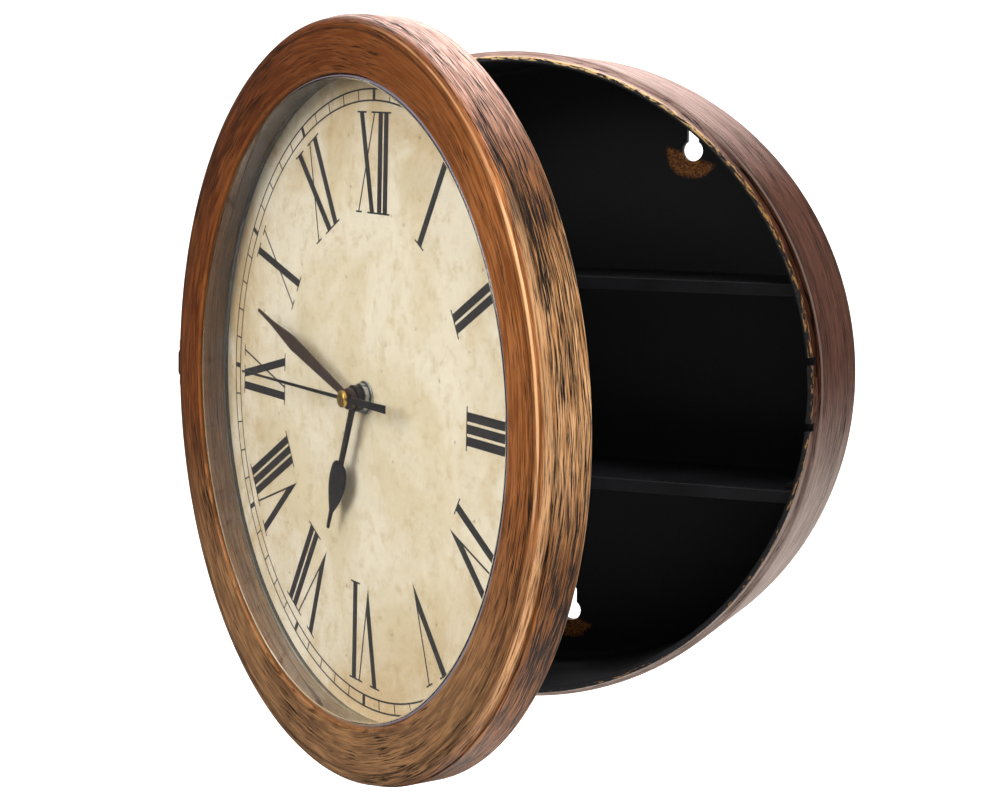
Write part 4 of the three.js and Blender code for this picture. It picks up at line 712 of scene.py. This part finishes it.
# %% [markdown]
# ## The door and what is behind its lens
# The door's moulding, lens and dial are all turned about the dial's axis, with 48 facets to the
# turn, so they are rounded as rims, and so is the drum. The door's back pan is black and unpainted.
# Each line below gives the piece, its finish, the facets to the turn, the bevel in mm, the least
# angle in degrees that counts as a real corner, and the name of the finish's slot.

# %% Door, lens and dial
RIM_FACETS = 48
finer("bezel_ring", DOOR_COPPER, RIM_FACETS, 0.0, 44, "bezel_copper_paint", cut=True)
finer("door_pan", BLACK_DOOR, RIM_FACETS, 0.0, 40, "black_abs", cut=True)
finer("lens", CLEAR, RIM_FACETS, 0.0, 50, "clear_polystyrene")
finer("dial_plate", PARCHMENT, RIM_FACETS, 0.0, 38, "printed_dial")

# %% The case and its shelves
finer("case_shell", DRUM_COPPER, RIM_FACETS, 0.25, 40, "drum_copper_paint", tiny=0.06)
for shelf in ("shelf_upper", "shelf_lower"):
    finer(shelf, BLACK_CASE, 0, 0.3, 40, "black_abs")
finer("hinge_pin", STEEL_CASE, 0, 0.1, 50, "steel")

# %% [markdown]
# ## The movement and the hands
# The movement hangs behind the dial by its bushing and nut. Its small round pieces turn about the
# dial's own axis, with 18 facets to the turn, so they are rounded in the same way. The hands are
# stamped from sheet, and a bevel of a tenth of a millimetre stands for the burr-free edge.

# %% Movement, hands and their fixings
SMALL_FACETS, CAP_FACETS, CORNER = 18, 12, 38
for name, mat, facets, bevel, slot in (
        ("rubber_washer", RUBBER, SMALL_FACETS, 0.1, "black_rubber"),
        ("metal_washer", STEEL, SMALL_FACETS, 0.06, "steel"),
        ("dial_nut", STEEL, SMALL_FACETS, 0.08, "steel"),
        ("movement_front", BLACK_DOOR, 0, 0.15, "black_abs"),
        ("movement_case", BLACK_DOOR, 0, 0.3, "black_abs"),
        ("battery", JACKET, 0, 0.2, "battery_jacket"),
        ("battery_contact_plus", STEEL, 0, 0.0, "steel"),
        ("battery_contact_minus", STEEL, 0, 0.0, "steel"),
        ("motion_wheel", ACETAL, 0, 0.0, "white_acetal"),
        ("setting_knob", BLACK_DOOR, 0, 0.12, "black_abs"),
        ("hour_wheel", ACETAL, 0, 0.0, "white_acetal"),
        ("hour_hand", LACQUER, 0, 0.1, "black_aluminium"),
        ("cannon_pinion", BRASS, 0, 0.0, "brass"),
        ("minute_hand", LACQUER_WARM_REFLECTION, 0, 0.1, "black_aluminium"),
        ("second_arbor", STEEL, 0, 0.0, "steel"),
        ("second_hand", LACQUER, 0, 0.08, "black_aluminium"),
        ("second_cap", BRASS, CAP_FACETS, 0.12, "brass")):
    finer(name, mat, facets, bevel, CORNER, slot)
for number in range(1, 7):
    finer(f"pan_screw_{number}", STEEL, 0, 0.1, CORNER, "steel")

# %% [markdown]
# ## Printing the dial
# The numerals are the old clock kind: all stand with their feet to the centre, four is IV, the
# uprights are thick, and the second strokes of V and X are hairs, with hairline feet that reach
# past the strokes. The V of the four is the V of the six turned over, with its hair first. A font
# would bring its own shapes, so each numeral is put together from slanted strokes, as a dial
# printer's stencil is. The strokes are real ink films, a few hundredths of a millimetre thick, so
# they stay sharp however close the camera comes. The print sits a little off true on its card,
# turned by 1.3 degrees and moved by 2 mm, as it does on the real dial.

# %% Lay films of ink on the dial
PRINT_TURN = 1.3  # degrees
PRINT_SHIFT = (2.2, -1.0)
INK_THICK, RUNG_THICK, HAIR_THICK = 0.03, 0.026, 0.02
CROSSING = 0.004  # each stroke is this much thicker than the last, so crossing ones share no face


def on_print(angle, x, r):
    """A spot of the print in mm: x across and r out from its centre, at an angle from twelve."""
    across, up = (math.cos(angle), -math.sin(angle)), (math.sin(angle), math.cos(angle))
    return tuple(PRINT_SHIFT[i] + across[i] * x + up[i] * r for i in (0, 1))


def film(bm, outline, thick):
    """A closed outline in mm on the dial, raised into a thin film of ink."""
    low = [bm.verts.new(on_door(x, z, CARD)) for x, z in outline]
    high = [bm.verts.new(on_door(x, z, CARD + thick)) for x, z in outline]
    count = len(outline)
    bm.faces.new(high)
    bm.faces.new(low[::-1])
    for i in range(count):
        j = (i + 1) % count
        bm.faces.new((low[i], low[j], high[j], high[i]))


def print_piece(name, bm):
    """Turns the films into one piece that rides on the door."""
    bmesh.ops.recalc_face_normals(bm, faces=bm.faces)
    mesh = bpy.data.meshes.new(name)
    bm.to_mesh(mesh)
    bm.free()
    mesh.materials.append(INK)
    piece = bpy.data.objects.new(name, mesh)
    bpy.context.scene.collection.objects.link(piece)
    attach(piece, "door")
    print(name, "has", len(mesh.polygons), "faces")

# %% The strokes of a numeral
FEET, HEADS = 62.8, 95.2  # mm from the middle of the print
THICK, HAIR, GAP = 2.9, 0.7, 0.9  # mm wide: a stout stroke, a hair, the gap between letters
SERIF_PAST, SERIF_THICK = 1.7, 0.6
V_HALF, V_POINT = 5.3, 0.3
X_HEAD, X_FOOT, X_WIDE = (-4.2, 4.4), (3.7, -5.3), 9.6  # heads and feet: the stout one, the hair
WIDTHS = {"I": THICK, "V": 2 * V_HALF + THICK, "X": X_WIDE + THICK}


def bar(foot, head, width):
    """A stroke of one width, and where its two serifs stand."""
    half = width / 2
    outline = [(foot - half, FEET), (foot + half, FEET), (head + half, HEADS), (head - half, HEADS)]
    return outline, [(0, foot, width), (1, head, width)]


def wedge(mirrored):
    """The two strokes of a V: the stout one runs out to a point, which has no serif."""
    left, right = -V_HALF - THICK / 2, V_HALF + HAIR / 2
    fall = (V_POINT - left) / (HEADS - FEET)
    rise = (right - V_POINT) / (HEADS - FEET)
    drop = (right - left - THICK) / (fall + rise)
    join = (right - rise * drop, HEADS - drop)
    stout = [(V_POINT, FEET), join, (left + THICK, HEADS), (left, HEADS)]
    thin = [(join[0] - HAIR, join[1]), join, (right, HEADS), (right - HAIR, HEADS)]
    turn = -1 if mirrored else 1
    serifs = [(1, -turn * V_HALF, THICK), (1, turn * V_HALF, HAIR)]
    return [[(turn * x, r) for x, r in shape] for shape in (stout, thin)], serifs


def strokes(text):
    """The outlines of a numeral and its serifs as (end, x, width of the stroke)."""
    total = sum(WIDTHS[c] for c in text) + GAP * (len(text) - 1)
    at, outlines, serifs = -total / 2, [], []
    for letter in text:
        mid = at + WIDTHS[letter] / 2
        if letter == "V":
            shapes, feet = wedge(text == "IV")
        elif letter == "I":
            shapes, feet = bar(0.0, 0.0, THICK)
            shapes = [shapes]
        else:
            stout, feet = bar(X_FOOT[0], X_HEAD[0], THICK)
            thin, more = bar(X_FOOT[1], X_HEAD[1], HAIR)
            shapes, feet = [stout, thin], feet + more
        outlines += [[(x + mid, r) for x, r in shape] for shape in shapes]
        serifs += [(end, x + mid, width) for end, x, width in feet]
        at += WIDTHS[letter] + GAP
    return outlines, serifs


print("XII is", round(sum(WIDTHS[c] for c in "XII") + 2 * GAP, 1), "mm wide")

# %% Serifs, and all twelve numerals round the dial
JOINED = 0.9  # serifs that overlap by more than this are drawn as one


def serif_lines(serifs, end):
    """Hairline feet or heads: strokes that stand close share one, the others have their own."""
    lines = []
    for x, width in sorted((x, width) for at_end, x, width in serifs if at_end == end):
        low, high = x - width / 2 - SERIF_PAST, x + width / 2 + SERIF_PAST
        if lines and low - lines[-1][1] < -JOINED:
            lines[-1][1] = max(high, lines[-1][1])
        else:
            lines.append([low, high])
    return lines


def numeral(bm, text, hour):
    """Prints one numeral with its feet towards the dial's centre."""
    angle = math.radians(30 * hour + PRINT_TURN)
    outlines, serifs = strokes(text)
    for k, outline in enumerate(outlines):
        film(bm, [on_print(angle, x, r) for x, r in outline], INK_THICK + CROSSING * k)
    half = SERIF_THICK / 2
    for end, r in ((0, FEET - half), (1, HEADS + half)):
        for low, high in serif_lines(serifs, end):
            corners = ((low, r - half), (high, r - half), (high, r + half), (low, r + half))
            film(bm, [on_print(angle, x, z) for x, z in corners], HAIR_THICK)


ink = bmesh.new()
for hour, text in enumerate("I II III IV V VI VII VIII IX X XI XII".split(), 1):
    numeral(ink, text, hour)
print_piece("printed_numerals", ink)

# %% [markdown]
# ## The minute track
# Two fine rings with sixty short rungs between them make a railway track, with a stout rung at each
# hour. The rings are cut into 240 steps, so they look round even close up.

# %% Rings and rungs of the minute track
TRACK_OUT, TRACK_IN = 103.2, 99.4  # mm from the middle of the print
LINE, RUNG, STOUT_RUNG = 0.6, 0.55, 1.8  # mm wide
STEPS = 240


def ring(bm, radius, width, thick):
    """A thin flat ring of ink, closed on itself."""
    inner, outer = radius - width / 2, radius + width / 2
    section = ((inner, CARD), (outer, CARD), (outer, CARD + thick), (inner, CARD + thick))
    turns = [2 * math.pi * k / STEPS for k in range(STEPS)]
    loops = [[bm.verts.new(on_door(*on_print(turn, 0.0, r), ahead)) for turn in turns]
             for r, ahead in section]
    for low, high in zip(loops, loops[1:] + loops[:1]):
        for k in range(STEPS):
            n = (k + 1) % STEPS
            bm.faces.new((low[k], low[n], high[n], high[k]))


ink = bmesh.new()
ring(ink, TRACK_OUT, LINE, HAIR_THICK)
ring(ink, TRACK_IN, LINE, HAIR_THICK)
for minute in range(60):
    angle = math.radians(6 * minute + PRINT_TURN)
    half = (RUNG if minute % 5 else STOUT_RUNG) / 2
    corners = ((-half, TRACK_IN), (half, TRACK_IN), (half, TRACK_OUT), (-half, TRACK_OUT))
    film(ink, [on_print(angle, x, r) for x, r in corners], RUNG_THICK)
print_piece("printed_minute_track", ink)

# %% [markdown]
# ## Floor and a grey card
# The clock is pictured on pale ground, like a catalogue picture. The ground is one sheet that
# sweeps up far behind the clock, so no horizon shows. A lens of clear plastic mirrors such a pale
# floor, and the mirror image would lie over the dial like a veil. A photographer holds a grey card
# where the lens looks, just out of the picture, and so does this room: only mirror rays see it.

# %% The pale floor with its sweep
FLOOR, BEND, SWEEP = -0.42, 1.8, 1.4  # metres: its height, where it starts to rise, its radius


def sheet(name, rows, mat):
    """A sheet of the studio from rows of two points each, in metres."""
    bm = bmesh.new()
    rows = [[bm.verts.new(point) for point in row] for row in rows]
    for low, high in zip(rows, rows[1:]):
        bm.faces.new((low[0], low[1], high[1], high[0]))
    mesh = bpy.data.meshes.new(name)
    bm.to_mesh(mesh)
    bm.free()
    mesh.materials.append(mat)
    piece = bpy.data.objects.new(name, mesh)
    bpy.context.scene.collection.objects.link(piece)
    return piece


def pale_ground():
    """A floor that curves up far behind, as a photographer's paper roll does."""
    mat = open_finish("matt white paper roll")
    spot = add(mat, "TexCoord", out="Object")
    tooth = add(mat, "TexNoise", {"Vector": spot, "Scale": 40.0})
    tone = add(mat, "Mix", (tooth, colour("#f6f5f3"), colour("#fbfaf9")))
    close_finish(mat, {"Base Color": tone, "Roughness": 0.9}, tooth, 0.05)
    turns = [math.radians(6 * k) for k in range(1, 16)]
    path = [(-4.0, FLOOR), (0.5, FLOOR), (BEND, FLOOR)]
    path += [(BEND + SWEEP * math.sin(a), FLOOR + SWEEP * (1 - math.cos(a))) for a in turns]
    path += [(BEND + SWEEP, 4.5)]
    ground = sheet("pale_ground", [[(x, y, z) for x in (-5.0, 5.0)] for y, z in path], mat)
    ground.data.shade_smooth()
    print("the floor sweeps up through", len(path), "rows")


pale_ground()

# %% The grey card
def grey_card():
    """A folded grey card low on the left that only mirror rays see."""
    mat = open_finish("grey felt")
    nap = add(mat, "TexNoise", {"Vector": add(mat, "TexCoord", out="Object"), "Scale": 60.0})
    tone = add(mat, "Mix", (nap, colour("#3c3a3a"), colour("#4a4848")))
    close_finish(mat, {"Base Color": tone, "Roughness": 0.95}, nap, 0.2)
    fold = ((-0.05, -0.41), (-1.3, -0.41), (-1.3, 0.9))
    card = sheet("dark_flag", [[(x, y, z) for y in (-1.2, 1.5)] for x, z in fold], mat)
    card.visible_camera = card.visible_diffuse = card.visible_shadow = False


grey_card()

# %% [markdown]
# ## Light
# Large soft lamps stand where a studio puts them: the main one at the left, one above, a thin strip
# at the right, and one that lights the paper far behind. A pale world fills the shadows. To the
# camera that world is nearly white, and as a light it is dim, so that the shadows stay.

# %% Soft lamps and a pale world
AIM = Vector((-0.01, -0.09, 0.0))  # metres: the middle of the open clock


def soft_lamp(name, place, size, watts, toward=AIM):
    """A flat soft box, in metres, that faces the clock or another point."""
    data = bpy.data.lights.new(name, "AREA")
    data.shape, data.size, data.size_y = "RECTANGLE", *size
    data.energy = watts
    lamp = bpy.data.objects.new(name, data)
    lamp.location = place
    lamp.rotation_euler = (Vector(toward) - Vector(place)).to_track_quat("-Z", "Y").to_euler()
    bpy.context.scene.collection.objects.link(lamp)


soft_lamp("key_box", (-1.1, -1.5, 0.9), (1.1, 1.1), 24)
soft_lamp("top_box", (0.35, -0.35, 1.5), (1.3, 1.0), 28)
soft_lamp("side_strip", (1.5, -0.1, 0.35), (0.4, 1.4), 3)
soft_lamp("backdrop_box", (-1.0, 1.3, 1.9), (3.4, 1.6), 100, toward=(-1.3, 2.4, -0.1))


def pale_room():
    """An even white room, pale where the camera sees it and dim as a light."""
    world = bpy.data.worlds.new("pale_room")
    bpy.context.scene.world = world
    world.use_nodes = True
    back = world.node_tree.nodes["Background"]
    back.inputs["Color"].default_value = colour("#ffffff")
    seen = add(world, "LightPath", out="Is Camera Ray")
    strength = add(world, "Mix", (seen, 0.28, 0.92), data_type="FLOAT")
    world.node_tree.links.new(strength, back.inputs["Strength"])


pale_room()
bpy.context.scene.view_settings.view_transform = "Standard"

# %% [markdown]
# ## The camera
# The camera stands to the right of the clock, a little above its middle, and looks back at it. Its
# place, direction and focal length are the photograph's, worked out together with the clock's
# sizes. The photograph was cropped off centre, so a small lens shift moves the frame without
# turning the camera.

# %% Place the camera
SENSOR, FRAME = 36.0, (1000, 800)  # mm, and the picture's size in pixels


def place_camera(place, forward, down, focal, centre):
    """A camera from its place in mm, its directions, its focal length and centre in pixels."""
    data = bpy.data.cameras.new("catalogue_camera")
    data.sensor_width = SENSOR
    data.lens = focal * SENSOR / FRAME[0]
    data.shift_x = (FRAME[0] / 2 - centre[0]) / FRAME[0]
    data.shift_y = (centre[1] - FRAME[1] / 2) / FRAME[0]
    data.dof.use_dof = False
    ahead = Vector(forward).normalized()
    right = Vector(down).normalized().cross(ahead).normalized()
    stand = Matrix((right, right.cross(ahead), -ahead)).transposed().to_4x4()
    camera = bpy.data.objects.new("catalogue_camera", data)
    camera.matrix_world = Matrix.Translation(Vector(place) * MM) @ stand
    bpy.context.scene.collection.objects.link(camera)
    bpy.context.scene.camera = camera
    print("lens in mm:", round(data.lens, 1))
    print("shift:", round(data.shift_x, 3), round(data.shift_y, 3))


place_camera(
    place=(284.3, -735.9, 85.4), forward=(-0.35253, 0.93300, -0.07228),
    down=(0.03785, -0.06296, -0.99730), focal=2035.5, centre=(574.4, 290.2))
